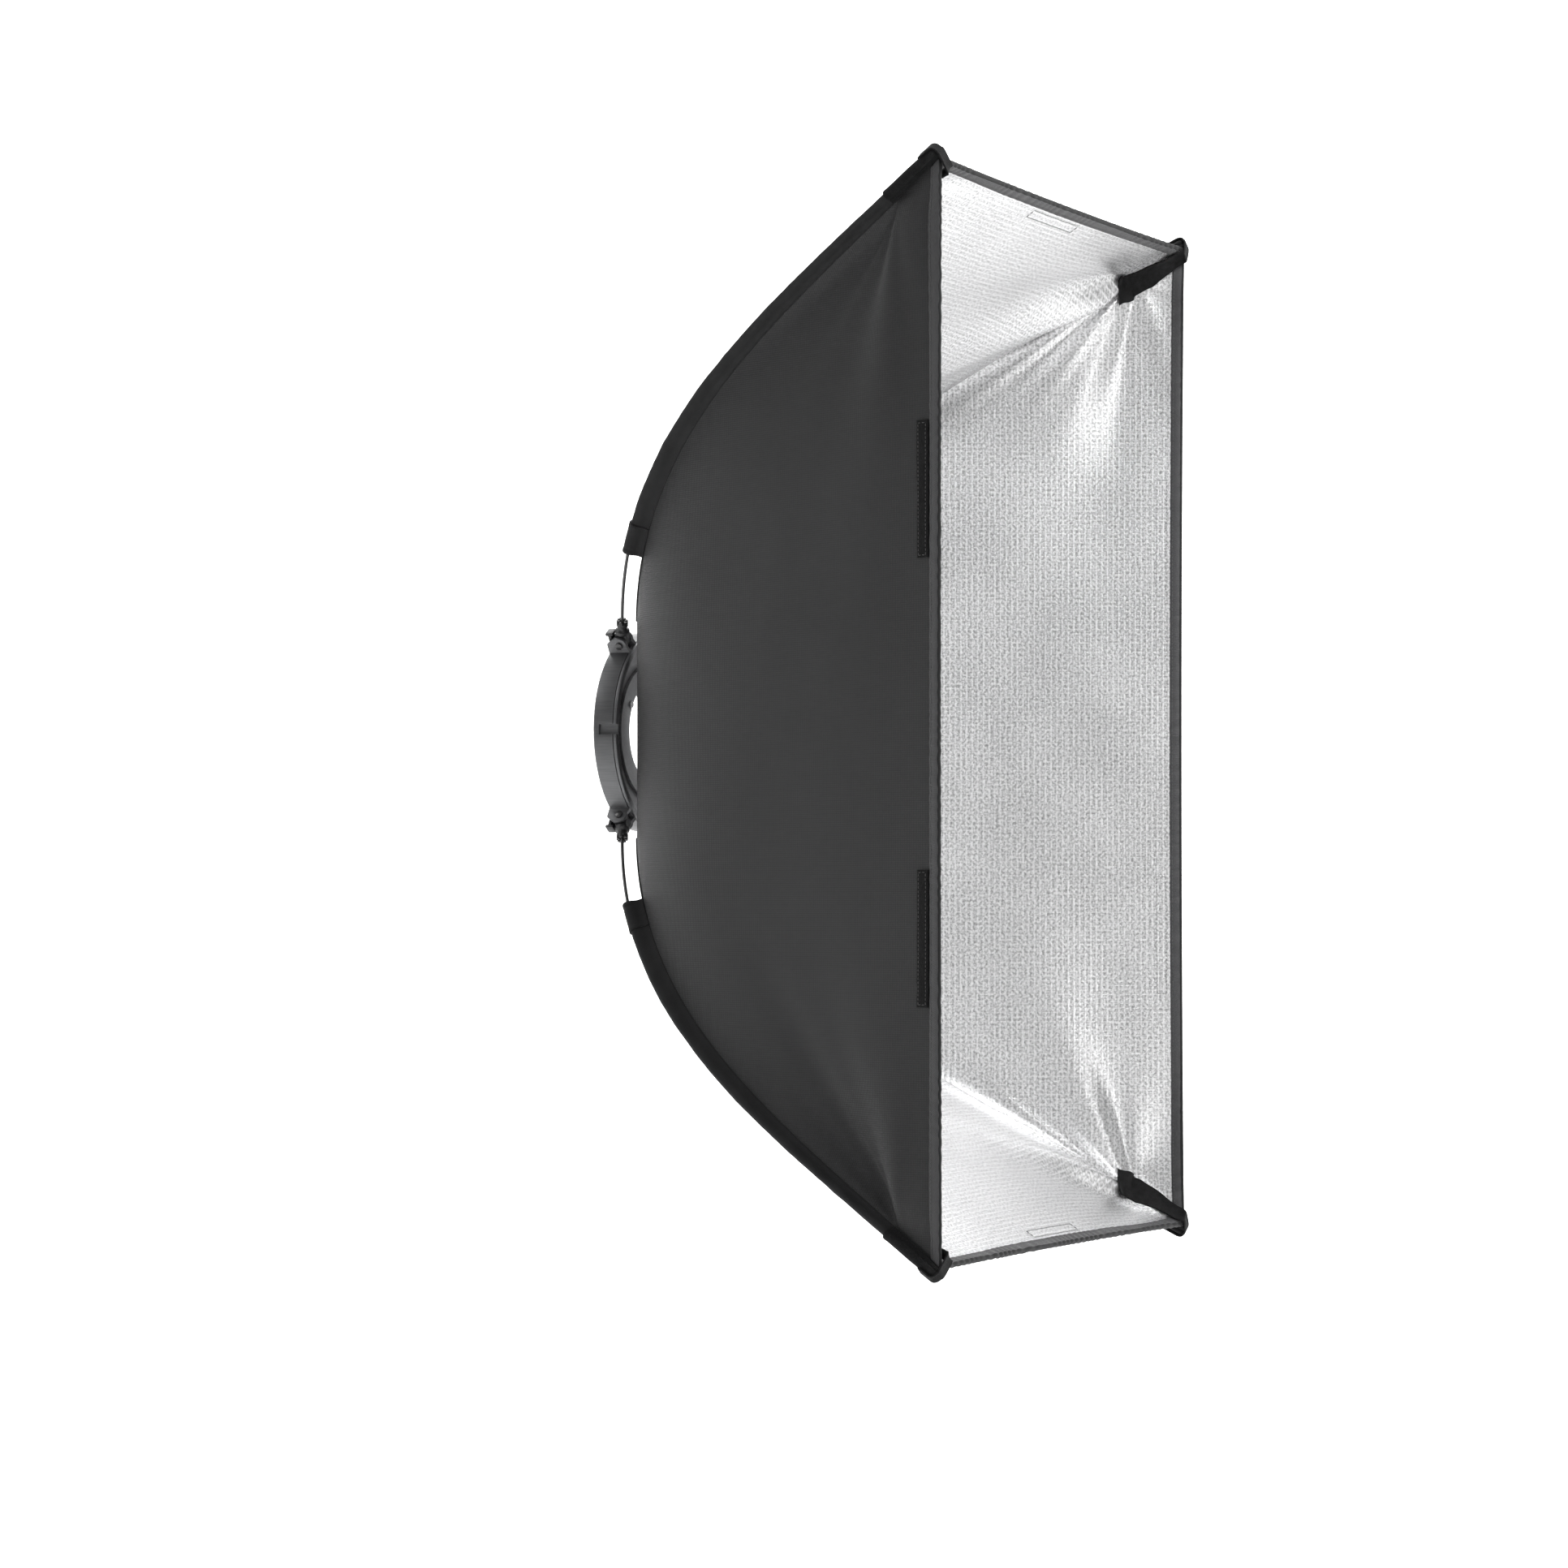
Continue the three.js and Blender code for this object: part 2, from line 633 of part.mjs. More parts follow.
function tipCap() {
  const cap = turned(
    [
      [ROD_RADIUS + GAP, -CAP_BITE],
      [CAP_RADIUS, -CAP_BITE],
      [CAP_RADIUS, CAP_NOSE - 1],
      [CAP_RADIUS - 1, CAP_NOSE],
      [0, CAP_NOSE],
      [0, GAP],
      [ROD_RADIUS + GAP, GAP],
    ],
    12,
  );
  const tip = ribStretch(0, RIB_LENGTH).getPoint(1);
  const turn = THREE.MathUtils.radToDeg(RIB_END_TILT) - 90;
  return cap.rotate([0, 0, turn]).translate(tip.toArray());
}

// A flat sewn tunnel over a stretch of the rib: it reaches from outside the rod to the seam.
function tunnel(from, to, halfWidth, outside, wayRadius, steps) {
  const edge = (offset) => {
    const line = ribStretch(from, to, offset);
    const points = [];
    for (let i = 0; i <= steps; i += 1) {
      const { x, y } = line.getPoint(i / steps);
      points.push(new THREE.Vector2(x, y));
    }
    return points;
  };
  const outer = edge(() => -outside);
  const inner = edge((along) => seamOffset(along) - SEAM_GAP);
  const fin = slab(new THREE.Shape([...outer, ...inner.reverse()]), 2 * halfWidth);
  return cut(fin, swept(circleSection(wayRadius), ribStretch(from - 1, to + 1), steps));
}

function sleeve() {
  const from = CUFF_START + CUFF_LENGTH + GAP;
  const to = RIB_LENGTH - POCKET_LENGTH - GAP;
  return tunnel(from, to, SLEEVE_HALF_WIDTH, SLEEVE_OUTSIDE, SLEEVE_TUNNEL_RADIUS, 24);
}

function sleeveCuff() {
  const to = CUFF_START + CUFF_LENGTH;
  const halfWidth = SLEEVE_HALF_WIDTH + CUFF_WALL;
  return tunnel(CUFF_START, to, halfWidth, SLEEVE_OUTSIDE + CUFF_WALL, SLEEVE_TUNNEL_RADIUS, 3);
}

// A tunnel over the rib's end, folded over the front edge to a strap inside the corner.
function cornerPocket() {
  const tip = ribStretch(0, RIB_LENGTH).getPoint(1);
  const out = new THREE.Vector3(Math.cos(RIB_END_TILT), Math.sin(RIB_END_TILT), 0);
  const inward = new THREE.Vector3(-out.y, out.x, 0);
  const at = (along, offset) => {
    const point = tip.clone().addScaledVector(out, along).addScaledVector(inward, offset);
    return [point.x, point.y];
  };
  const inside = SEAM_TIP_OFFSET - SEAM_GAP;
  const sheath = tunnel(
    RIB_LENGTH - POCKET_LENGTH,
    RIB_LENGTH,
    POCKET_HALF_WIDTH,
    POCKET_OUTSIDE,
    POCKET_TUNNEL_RADIUS,
    5,
  );
  const nose = polygon([
    at(-0.5, -POCKET_OUTSIDE),
    at(POCKET_NOSE, -POCKET_OUTSIDE + 1),
    at(POCKET_NOSE + 2, 0),
    at(POCKET_NOSE, inside),
    at(-0.5, inside),
  ]);
  const room = Math.hypot(CAP_RADIUS, CAP_NOSE - 1) + 2 * GAP;
  const way = new THREE.Shape().absarc(tip.x, tip.y, room, 0, 2 * Math.PI);
  const front = BOX_DEPTH + BINDING_NOSE + GAP;
  const strapAt = (depth, offset) => {
    const along = (depth - tip.y - offset * inward.y) / out.y;
    return at(along, offset);
  };
  const [near, far] = [STRAP_OFFSET, STRAP_OFFSET + STRAP_THICKNESS];
  const start = strapAt(front, near);
  const strap = polygon([
    at(POCKET_NOSE - GAP, 0),
    at(POCKET_NOSE + 1, 0),
    [tip.x - 2, front + STRAP_THICKNESS],
    strapAt(front + STRAP_THICKNESS, far),
    strapAt(front - STRAP_LENGTH * out.y, far),
    strapAt(front - STRAP_LENGTH * out.y, near),
    start,
    [tip.x - 12, front],
  ]);
  const body = join(
    sheath,
    cut(slab(nose, 2 * POCKET_HALF_WIDTH), slab(way, 2 * CAP_RADIUS + 2 * GAP)),
  );
  return join(body, slab(strap, 2 * STRAP_HALF_WIDTH));
}

// ---------------------------------------------------------------------------
// Fabric shell. Each piece is drawn for the top and turned to its side of the box.

// wide: half the front opening along the panel. high: from the centre line to the panel.
const SIDES = [
  { name: 'top', turn: 0, wide: BOX_WIDTH / 2, high: BOX_HEIGHT / 2 },
  { name: 'right', turn: 90, wide: BOX_HEIGHT / 2, high: BOX_WIDTH / 2 },
  { name: 'bottom', turn: 180, wide: BOX_WIDTH / 2, high: BOX_HEIGHT / 2 },
  { name: 'left', turn: 270, wide: BOX_HEIGHT / 2, high: BOX_WIDTH / 2 },
];

const PANEL_STEPS = 26;

// Points of the panel's outer face in its own section: x to the front, y away from the centre.
function panelLine(side) {
  const rise = side.high / CORNER_REACH;
  const seam = ribStretch(seamAtDepth(PANEL_REAR), seamAtDepth(BOX_DEPTH), seamOffset);
  const points = [];
  for (let i = 0; i <= PANEL_STEPS; i += 1) {
    const point = seam.getPoint(i / PANEL_STEPS);
    points.push(new THREE.Vector2(point.y, point.x * rise));
  }
  return points;
}

// The same line moved out by a distance, square to itself.
function offsetLine(points, distance) {
  return points.map((point, i) => {
    const before = points[Math.max(0, i - 1)];
    const after = points[Math.min(points.length - 1, i + 1)];
    const along = after.clone().sub(before).normalize();
    return new THREE.Vector2(point.x - along.y * distance, point.y + along.x * distance);
  });
}

// Turns a solid drawn with x to the front, y out and z along the panel to its side of the box.
function toSide(shape, side) {
  return shape.transform([0, -1, 0, 0, 0, 0, 1, 0, -1, 0, 0, 0, 0, 0, 0, 1])
    .rotate([0, side.turn, 0]);
}

// The wedge between two diagonals that a panel fills, less the gap at each seam.
function mitreWedge(side) {
  const slope = side.wide / side.high;
  const apex = (MITRE_GAP / 2) * Math.hypot(1, 1 / slope);
  const reach = 2 * side.high;
  const wedge = new THREE.Shape();
  wedge.moveTo(0, apex);
  wedge.lineTo(-slope * (reach - apex), reach);
  wedge.lineTo(slope * (reach - apex), reach);
  return slab(wedge, 4 * BOX_DEPTH).rotate([90, 0, 0]).rotate([0, side.turn, 0]);
}

function panel(side) {
  const outer = panelLine(side);
  const inner = offsetLine(outer, -PANEL_THICKNESS);
  const section = new THREE.Shape([...outer, ...inner.reverse()]);
  return toSide(slab(section, 4 * side.wide), side).intersect(mitreWedge(side));
}

// The panel's front edge: where it ends, its direction to the front, and its outward normal.
function frontEdge(side) {
  const line = panelLine(side);
  const end = line[line.length - 1];
  const along = end.clone().sub(line[line.length - 3]).normalize();
  return { end, along, out: new THREE.Vector2(-along.y, along.x) };
}

// Outline near the front edge from pairs: distance along the panel, distance out of it.
function edgeOutline(side, pairs) {
  const { end, along, out } = frontEdge(side);
  return polygon(
    pairs.map(([run, rise]) => {
      const point = end.clone().addScaledVector(along, run).addScaledVector(out, rise);
      return [point.x, point.y];
    }),
  );
}

// The panels' corner at the front edge, along a side of the box.
function cornerAlong(side) {
  const { end } = frontEdge(side);
  return (end.y * side.wide) / side.high;
}

// A channel folded over the panel's front edge.
function binding(side) {
  const slotOut = GAP;
  const slotIn = -PANEL_THICKNESS - 2 * GAP;
  const [low, high] = [slotIn - BINDING_WALL, slotOut + BINDING_WALL];
  const back = BINDING_NOSE - BINDING_WIDTH;
  const outline = edgeOutline(side, [
    [back, slotOut],
    [GAP, slotOut],
    [GAP, slotIn],
    [back, slotIn],
    [back, low],
    [BINDING_NOSE - 1, low],
    [BINDING_NOSE - 0.2, low + 1],
    [BINDING_NOSE - 0.2, high - 1],
    [BINDING_NOSE - 1, high],
    [back, high],
  ]);
  const length = 2 * (cornerAlong(side) - BINDING_END_CLEARANCE);
  return toSide(slab(outline, length), side);
}

// One hook-and-loop strip, its centre a distance along the panel from the middle.
function strip(side, centre) {
  const front = BINDING_NOSE - BINDING_WIDTH - STRIP_FROM_BINDING;
  const outline = edgeOutline(side, [
    [front, 2 * GAP],
    [front, 2 * GAP + STRIP_THICKNESS],
    [front - STRIP_WIDTH, 2 * GAP + STRIP_THICKNESS],
    [front - STRIP_WIDTH, 2 * GAP],
  ]);
  return toSide(slab(outline, STRIP_LENGTH, centre), side);
}

// ---------------------------------------------------------------------------
// Assembly

addPiece('bayonet_insert', bayonetInsert(), 'alloy');
addPiece('glide_ring', glideRing(), 'plastic');
addPiece('speed_ring', speedRing(), 'alloy');
addPiece('retaining_ring', retainingRing(), 'alloy');
for (let i = 0; i < SCREW_COUNT; i += 1) {
  addPiece(`retaining_screw_${i + 1}`, retainingScrew(i), 'steel');
}

for (const corner of CORNERS) {
  const group = cornerGroup(corner);
  const pieces = [
    ['rod_socket', rodSocket(), 'plastic'],
    ['hinge_pin', hingePin(), 'steel'],
    ['release_tab', releaseTab(), 'plastic'],
    ['latch_spring', latchSpring(), 'steel'],
    ['rib_rod', ribRod(), 'rod'],
    ['tip_cap', tipCap(), 'rubber'],
    ['sleeve', sleeve(), 'fabric'],
    ['sleeve_cuff', sleeveCuff(), 'trim'],
    ['corner_pocket', cornerPocket(), 'webbing'],
  ];
  for (const [name, shape, material] of pieces) {
    addPiece(`${name}_${corner.name}`, shape, material, group);
  }
}

for (const side of SIDES) {
  addPiece(`panel_${side.name}`, panel(side), 'fabric');
  addPiece(`binding_${side.name}`, binding(side), 'trim');
}
for (const side of [SIDES[0], SIDES[2]]) {
  addPiece(`strip_${side.name}`, strip(side, 0), 'webbing');
}
for (const side of [SIDES[1], SIDES[3]]) {
  addPiece(`strip_${side.name}_1`, strip(side, -SIDE_STRIP_SPACING / 2), 'webbing');
  addPiece(`strip_${side.name}_2`, strip(side, SIDE_STRIP_SPACING / 2), 'webbing');
}

export default model;
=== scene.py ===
import functools
import math

import bmesh
import bpy
import numpy as np
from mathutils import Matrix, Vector, noise


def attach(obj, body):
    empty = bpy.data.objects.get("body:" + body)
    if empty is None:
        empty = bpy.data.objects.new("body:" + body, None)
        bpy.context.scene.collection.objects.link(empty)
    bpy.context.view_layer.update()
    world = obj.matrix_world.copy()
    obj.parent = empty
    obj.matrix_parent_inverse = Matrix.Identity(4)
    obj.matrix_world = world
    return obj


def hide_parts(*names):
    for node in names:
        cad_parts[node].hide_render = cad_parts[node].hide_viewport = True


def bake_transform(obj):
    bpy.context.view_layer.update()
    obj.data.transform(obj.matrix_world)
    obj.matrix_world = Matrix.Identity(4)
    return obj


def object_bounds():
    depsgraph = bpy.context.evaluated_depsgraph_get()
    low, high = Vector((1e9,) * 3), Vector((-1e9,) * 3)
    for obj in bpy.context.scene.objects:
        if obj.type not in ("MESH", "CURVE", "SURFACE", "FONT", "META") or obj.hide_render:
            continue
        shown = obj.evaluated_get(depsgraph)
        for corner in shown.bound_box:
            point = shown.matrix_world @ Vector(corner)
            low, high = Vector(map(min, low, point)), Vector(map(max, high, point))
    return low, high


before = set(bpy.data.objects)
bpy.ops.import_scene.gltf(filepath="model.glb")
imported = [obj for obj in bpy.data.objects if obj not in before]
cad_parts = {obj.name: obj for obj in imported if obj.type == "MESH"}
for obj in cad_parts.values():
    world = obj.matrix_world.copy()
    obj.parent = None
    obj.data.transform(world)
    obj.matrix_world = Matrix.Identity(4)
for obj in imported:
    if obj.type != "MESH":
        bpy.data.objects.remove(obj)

CAD_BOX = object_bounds()

bl_info = {
    "name": "Rectangular softbox",
    "version": (1, 0, 0),
    "blender": (4, 5, 0),
    "location": "View3D > Sidebar > Softbox",
    "description": "Cloth shell, ribs, speed ring and stage of a folding softbox",
    "category": "Object",
}

MM = 0.001
FRONT = np.array([0.0, -1.0, 0.0])
RIGHT = np.array([1.0, 0.0, 0.0])
UP = np.array([0.0, 0.0, 1.0])
CORNERS = ("upper_right", "upper_left", "lower_right", "lower_left")
# Each side's direction out of the box, along the panel, and the corner at each of its ends.
SIDES = {
    "top": (UP, RIGHT, {1: "upper_right", -1: "upper_left"}),
    "bottom": (-UP, RIGHT, {1: "lower_right", -1: "lower_left"}),
    "right": (RIGHT, UP, {1: "upper_right", -1: "lower_right"}),
    "left": (-RIGHT, UP, {1: "upper_left", -1: "lower_left"}),
}
RING_BODY = "ring"


# ---------------------------------------------------------------------------
# Sizes and colours a user would change


def length(name, description, default):
    return bpy.props.FloatProperty(
        name=name, description=description, default=default, unit="LENGTH")


def colour(name, description, default):
    return bpy.props.FloatVectorProperty(
        name=name, description=description, default=default, subtype="COLOR", size=3)


class SoftboxClothSettings(bpy.types.PropertyGroup):
    sag: length(
        "Sag", "How far a side's cloth is drawn in between its ribs", 0.008)
    hem_pull: length(
        "Hem pull", "How far the middle of the front edge is drawn back", 0.003)
    fold_height: length(
        "Corner folds", "Height of the folds that run out of the front corners", 0.0115)
    thickness: length(
        "Thickness", "Outer cloth and lining together", 0.0012)
    cloth_colour: colour(
        "Outer cloth", "Colour of the outer cloth", (0.0094, 0.0094, 0.0100))
    lining_colour: colour(
        "Lining", "Colour of the silver lining", (0.90, 0.90, 0.905))
    grid_pitch: length(
        "Lining grid", "Distance between the lining's ripstop threads", 0.0042)


class SoftboxTrimSettings(bpy.types.PropertyGroup):
    stitch_pitch: length(
        "Stitch pitch", "Distance from one stitch to the next", 0.0032)
    binding_colour: colour(
        "Binding", "Colour of the front edge binding", (0.024, 0.024, 0.0255))
    sleeve_colour: colour(
        "Sleeves", "Colour of the rib sleeves", (0.0062, 0.0062, 0.0066))
    nap_colour: colour(
        "Napped tape", "Colour of the strips and corner pockets", (0.0030, 0.0030, 0.0032))


class SoftboxHardwareSettings(bpy.types.PropertyGroup):
    edge: length(
        "Edge", "Width of the rounding on hard edges", 0.0003)
    alloy_colour: colour(
        "Ring", "Colour of the anodised speed ring", (0.105, 0.106, 0.109))
    plastic_colour: colour(
        "Plastic", "Colour of the moulded parts", (0.010, 0.010, 0.011))


class SoftboxStageSettings(bpy.types.PropertyGroup):
    floor_drop: length(
        "Floor drop", "Floor below the softbox", 0.75)
    lens: bpy.props.FloatProperty(
        name="Lens", description="Focal length", default=111.83, unit="CAMERA")


# ---------------------------------------------------------------------------
# Materials


class Finish:
    """A Principled material with procedural colour, roughness and bump."""

    def __init__(self, name, roughness=0.5, metallic=0.0, **sockets):
        self.material = bpy.data.materials.new(name)
        self.material.use_nodes = True
        self.nodes = self.material.node_tree.nodes
        self.links = self.material.node_tree.links
        self.shader = self.nodes["Principled BSDF"]
        self.shader.inputs["Roughness"].default_value = roughness
        self.shader.inputs["Metallic"].default_value = metallic
        for socket, value in sockets.items():
            self.shader.inputs[socket.replace("_", " ")].default_value = value
        self.height = None

    def where(self, kind="Object"):
        return self.nodes.new("ShaderNodeTexCoord").outputs[kind]

    def stretched(self, coordinate, scale):
        mapping = self.nodes.new("ShaderNodeMapping")
        mapping.inputs["Scale"].default_value = scale
        self.links.new(coordinate, mapping.inputs["Vector"])
        return mapping.outputs["Vector"]

    def noise(self, coordinate, scale, detail=3.0, roughness=0.5):
        node = self.nodes.new("ShaderNodeTexNoise")
        node.inputs["Scale"].default_value = scale
        node.inputs["Detail"].default_value = detail
        node.inputs["Roughness"].default_value = roughness
        self.links.new(coordinate, node.inputs["Vector"])
        return node.outputs["Fac"]

    def threads(self, coordinate, pitch, direction):
        """Bands across a direction, one for each thread."""
        node = self.nodes.new("ShaderNodeTexWave")
        node.bands_direction = direction
        node.inputs["Scale"].default_value = math.pi / (10 * pitch)
        self.links.new(coordinate, node.inputs["Vector"])
        return node.outputs["Fac"]

    def math(self, operation, first, second):
        node = self.nodes.new("ShaderNodeMath")
        node.operation = operation
        for socket, value in zip(node.inputs, (first, second)):
            if isinstance(value, (int, float)):
                socket.default_value = value
            else:
                self.links.new(value, socket)
        return node.outputs[0]

    def ramp(self, factor, *stops):
        node = self.nodes.new("ShaderNodeValToRGB")
        elements = node.color_ramp.elements
        while len(elements) < len(stops):
            elements.new(0.5)
        for element, (position, value) in zip(elements, stops):
            element.position = position
            colour = (value,) * 3 if isinstance(value, (int, float)) else tuple(value)
            element.color = (*colour, 1.0)
        self.links.new(factor, node.inputs["Fac"])
        return node.outputs["Color"]

    def weighted(self, *parts):
        """The sum of some outputs, each times its weight."""
        total = None
        for output, weight in parts:
            part = self.math("MULTIPLY", output, weight)
            total = self.math("ADD", total, part) if total else part
        return total

    def colour(self, factor, *stops):
        self.links.new(self.ramp(factor, *stops), self.shader.inputs["Base Color"])

    def roughness(self, factor, *stops):
        self.links.new(self.ramp(factor, *stops), self.shader.inputs["Roughness"])

    def bump(self, factor, distance, strength=1.0):
        node = self.nodes.new("ShaderNodeBump")
        node.inputs["Distance"].default_value = distance
        node.inputs["Strength"].default_value = strength
        self.links.new(factor, node.inputs["Height"])
        if self.height is not None:
            self.links.new(self.height, node.inputs["Normal"])
        self.height = node.outputs["Normal"]
        self.links.new(self.height, self.shader.inputs["Normal"])


def shade(colour, factor):
    return tuple(min(1.0, part * factor) for part in colour)


def outer_cloth():
    base = bpy.context.scene.softbox_cloth.cloth_colour
    finish = Finish(
        "outer_cloth", roughness=0.62, Sheen_Weight=0.10, Sheen_Roughness=0.4,
        Specular_IOR_Level=0.35)
    cut = finish.where("UV")
    thread = 0.0018
    weave = finish.math(
        "MULTIPLY", finish.threads(cut, thread, "X"), finish.threads(cut, thread, "Y"))
    slub = finish.noise(finish.stretched(cut, (1.0, 9.0, 1.0)), 210.0, 4.0)
    patchy = finish.noise(cut, 9.0, 2.0)
    grain = finish.noise(cut, 620.0, 3.0)
    tone = finish.weighted((slub, 0.40), (patchy, 0.20), (grain, 0.32), (weave, 0.16))
    finish.colour(tone, (0.38, shade(base, 0.55)), (0.62, shade(base, 1.50)))
    finish.bump(weave, 0.00022, 0.8)
    finish.bump(slub, 0.00025, 0.35)
    return finish.material


def silver_lining():
    settings = bpy.context.scene.softbox_cloth
    base = settings.lining_colour
    finish = Finish("silver_lining", roughness=0.32, metallic=0.86)
    cut = finish.where("UV")
    wefts = finish.math("POWER", finish.threads(cut, 1.25 * settings.grid_pitch, "Y"), 4.0)
    warps = finish.math("POWER", finish.threads(cut, settings.grid_pitch, "X"), 8.0)
    grid = finish.math("MAXIMUM", wefts, finish.math("MULTIPLY", warps, 0.6))
    crinkle = finish.noise(cut, 420.0, 4.0, 0.65)
    cloud = finish.noise(cut, 14.0, 3.0)
    tone = finish.weighted((crinkle, 0.84), (grid, 0.09), (cloud, 0.05))
    finish.colour(tone, (0.325, shade(base, 0.36)), (0.56, base))
    finish.roughness(cloud, (0.3, 0.28), (0.7, 0.32))
    finish.bump(grid, 0.00022, 0.4)
    finish.bump(crinkle, 0.0006, 0.4)
    return finish.material


def binding_tape():
    base = bpy.context.scene.softbox_trim.binding_colour
    finish = Finish("binding_tape", roughness=0.55, Sheen_Weight=0.15, Sheen_Roughness=0.4)
    cut = finish.where("UV")
    ribs = finish.threads(cut, 0.0012, "X")
    fuzz = finish.noise(cut, 700.0, 3.0)
    finish.colour(fuzz, (0.3, shade(base, 0.75)), (0.7, shade(base, 1.2)))
    finish.bump(ribs, 0.00018, 0.7)
    finish.bump(fuzz, 0.0001, 0.5)
    return finish.material


def sleeve_cloth(name, factor):
    base = shade(bpy.context.scene.softbox_trim.sleeve_colour, factor)
    finish = Finish(
        name, roughness=0.75, Sheen_Weight=0.06, Sheen_Roughness=0.5, Specular_IOR_Level=0.25)
    place = finish.where()
    weave = finish.noise(place, 1500.0, 2.0)
    wear = finish.noise(place, 45.0, 4.0)
    finish.colour(wear, (0.35, shade(base, 0.8)), (0.68, shade(base, 1.35)))
    finish.bump(weave, 0.00022, 0.7)
    return finish.material


def napped_tape():
    base = bpy.context.scene.softbox_trim.nap_colour
    finish = Finish(
        "napped_tape", roughness=0.95, Sheen_Weight=0.04, Sheen_Roughness=0.6,
        Specular_IOR_Level=0.15)
    place = finish.where()
    loops = finish.noise(place, 950.0, 5.0, 0.75)
    clumps = finish.noise(place, 210.0, 3.0)
    tone = finish.math("MULTIPLY", loops, clumps)
    finish.colour(tone, (0.16, shade(base, 0.45)), (0.42, shade(base, 2.3)))
    finish.bump(loops, 0.0007, 0.9)
    finish.bump(clumps, 0.0006, 0.6)
    return finish.material


def anodised_alloy():
    base = bpy.context.scene.softbox_hardware.alloy_colour
    finish = Finish("anodised_alloy", roughness=0.42, metallic=0.6)
    place = finish.where()
    brushed = finish.noise(finish.stretched(place, (1.0, 0.04, 1.0)), 900.0, 3.0)
    cloud = finish.noise(place, 60.0, 3.0)
    finish.colour(brushed, (0.3, shade(base, 0.90)), (0.7, shade(base, 1.12)))
    finish.roughness(cloud, (0.3, 0.38), (0.7, 0.50))
    finish.bump(brushed, 0.00002, 0.3)
    return finish.material


def moulded_plastic(name="moulded_plastic", factor=1.0, gloss=0.42):
    base = shade(bpy.context.scene.softbox_hardware.plastic_colour, factor)
    finish = Finish(name, roughness=gloss)
    place = finish.where()
    grain = finish.noise(place, 1400.0, 3.0)
    wear = finish.noise(place, 160.0, 3.0)
    finish.colour(wear, (0.35, shade(base, 0.85)), (0.7, shade(base, 1.5)))
    finish.roughness(wear, (0.3, gloss - 0.06), (0.7, gloss + 0.1))
    finish.bump(grain, 0.00008, 0.6)
    return finish.material


def grained(name, scale, dark, light, bump, gloss=(), detail=3.0, **sockets):
    """A plain material whose fine grain shows in its colour, bump and perhaps roughness."""
    finish = Finish(name, **sockets)
    grain = finish.noise(finish.where(), scale, detail)
    finish.colour(grain, (0.3, dark), (0.7, light))
    if gloss:
        finish.roughness(grain, (0.3, gloss[0]), (0.7, gloss[1]))
    finish.bump(grain, *bump)
    return finish.material


@functools.cache
def finish_of(name):
    """The shared material of that name, made when it is first asked for."""
    makers = {
        "outer_cloth": outer_cloth,
        "silver_lining": silver_lining,
        "binding_tape": binding_tape,
        "sleeve_cloth": lambda: sleeve_cloth("sleeve_cloth", 1.0),
        "cuff_cloth": lambda: sleeve_cloth("cuff_cloth", 0.75),
        "piping_cloth": lambda: sleeve_cloth("piping_cloth", 0.7),
        "napped_tape": napped_tape,
        "sewing_thread": lambda: grained(
            "sewing_thread", 2500.0, 0.020, 0.055, (0.0001, 0.6), detail=2.0,
            roughness=0.55, Sheen_Weight=0.3),
        "anodised_alloy": anodised_alloy,
        "moulded_plastic": moulded_plastic,
        "glide_plastic": lambda: moulded_plastic("glide_plastic", 2.4, 0.5),
        "bright_steel": lambda: grained(
            "bright_steel", 1200.0, 0.30, 0.52, (0.00005, 0.5), (0.22, 0.38),
            roughness=0.28, metallic=1.0),
        "rod_coating": lambda: grained(
            "rod_coating", 700.0, 0.012, 0.030, (0.00005, 0.4),
            roughness=0.34, Coat_Weight=0.3),
        "cap_rubber": lambda: grained(
            "cap_rubber", 1100.0, 0.006, 0.014, (0.0002, 0.6), roughness=0.85),
    }
    return makers[name]()


def dress(obj, *names):
    obj.data.materials.clear()
    for name in names:
        obj.data.materials.append(finish_of(name))


# ---------------------------------------------------------------------------
# Small tools


def settle(obj, material, degrees, node=None, body=None):
    """Gives a piece its finish and smooth shading, hides the CAD node it stands for and hangs it
    on the body it rides on.
    """
    dress(obj, material)
    smooth(obj, degrees)
    if node:
        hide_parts(node)
    if body:
        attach(obj, body)


def select_only(obj):
    for other in bpy.context.selected_objects:
        other.select_set(False)
    obj.select_set(True)
    bpy.context.view_layer.objects.active = obj


def coords(obj):
    return np.array([v.co for v in obj.data.vertices], float).reshape(-1, 3)


def edit_merged(obj, distance):
    """Enters edit mode with the whole of a piece selected, its double points merged."""
    select_only(obj)
    bpy.ops.object.mode_set(mode="EDIT")
    bpy.ops.mesh.select_all(action="SELECT")
    bpy.ops.mesh.remove_doubles(threshold=distance)


def apply_modifiers(obj):
    select_only(obj)
    for modifier in list(obj.modifiers):
        bpy.ops.object.modifier_apply(modifier=modifier.name)


def mesh_piece(name, points, faces, uvs=None, slots=None):
    """A new mesh object in the row frame. uvs holds one pair for each point."""
    mesh = bpy.data.meshes.new(name)
    mesh.from_pydata([tuple(map(float, p)) for p in points], [], faces)
    mesh.update()
    if uvs is not None:
        layer = mesh.uv_layers.new(name="cut")
        index = np.zeros(len(mesh.loops), np.int32)
        mesh.loops.foreach_get("vertex_index", index)
        layer.data.foreach_set("uv", np.asarray(uvs, np.float32)[index].ravel())
    if slots is not None:
        mesh.polygons.foreach_set("material_index", np.asarray(slots, np.int32))
    obj = bpy.data.objects.new(name, mesh)
    bpy.context.scene.collection.objects.link(obj)
    return obj


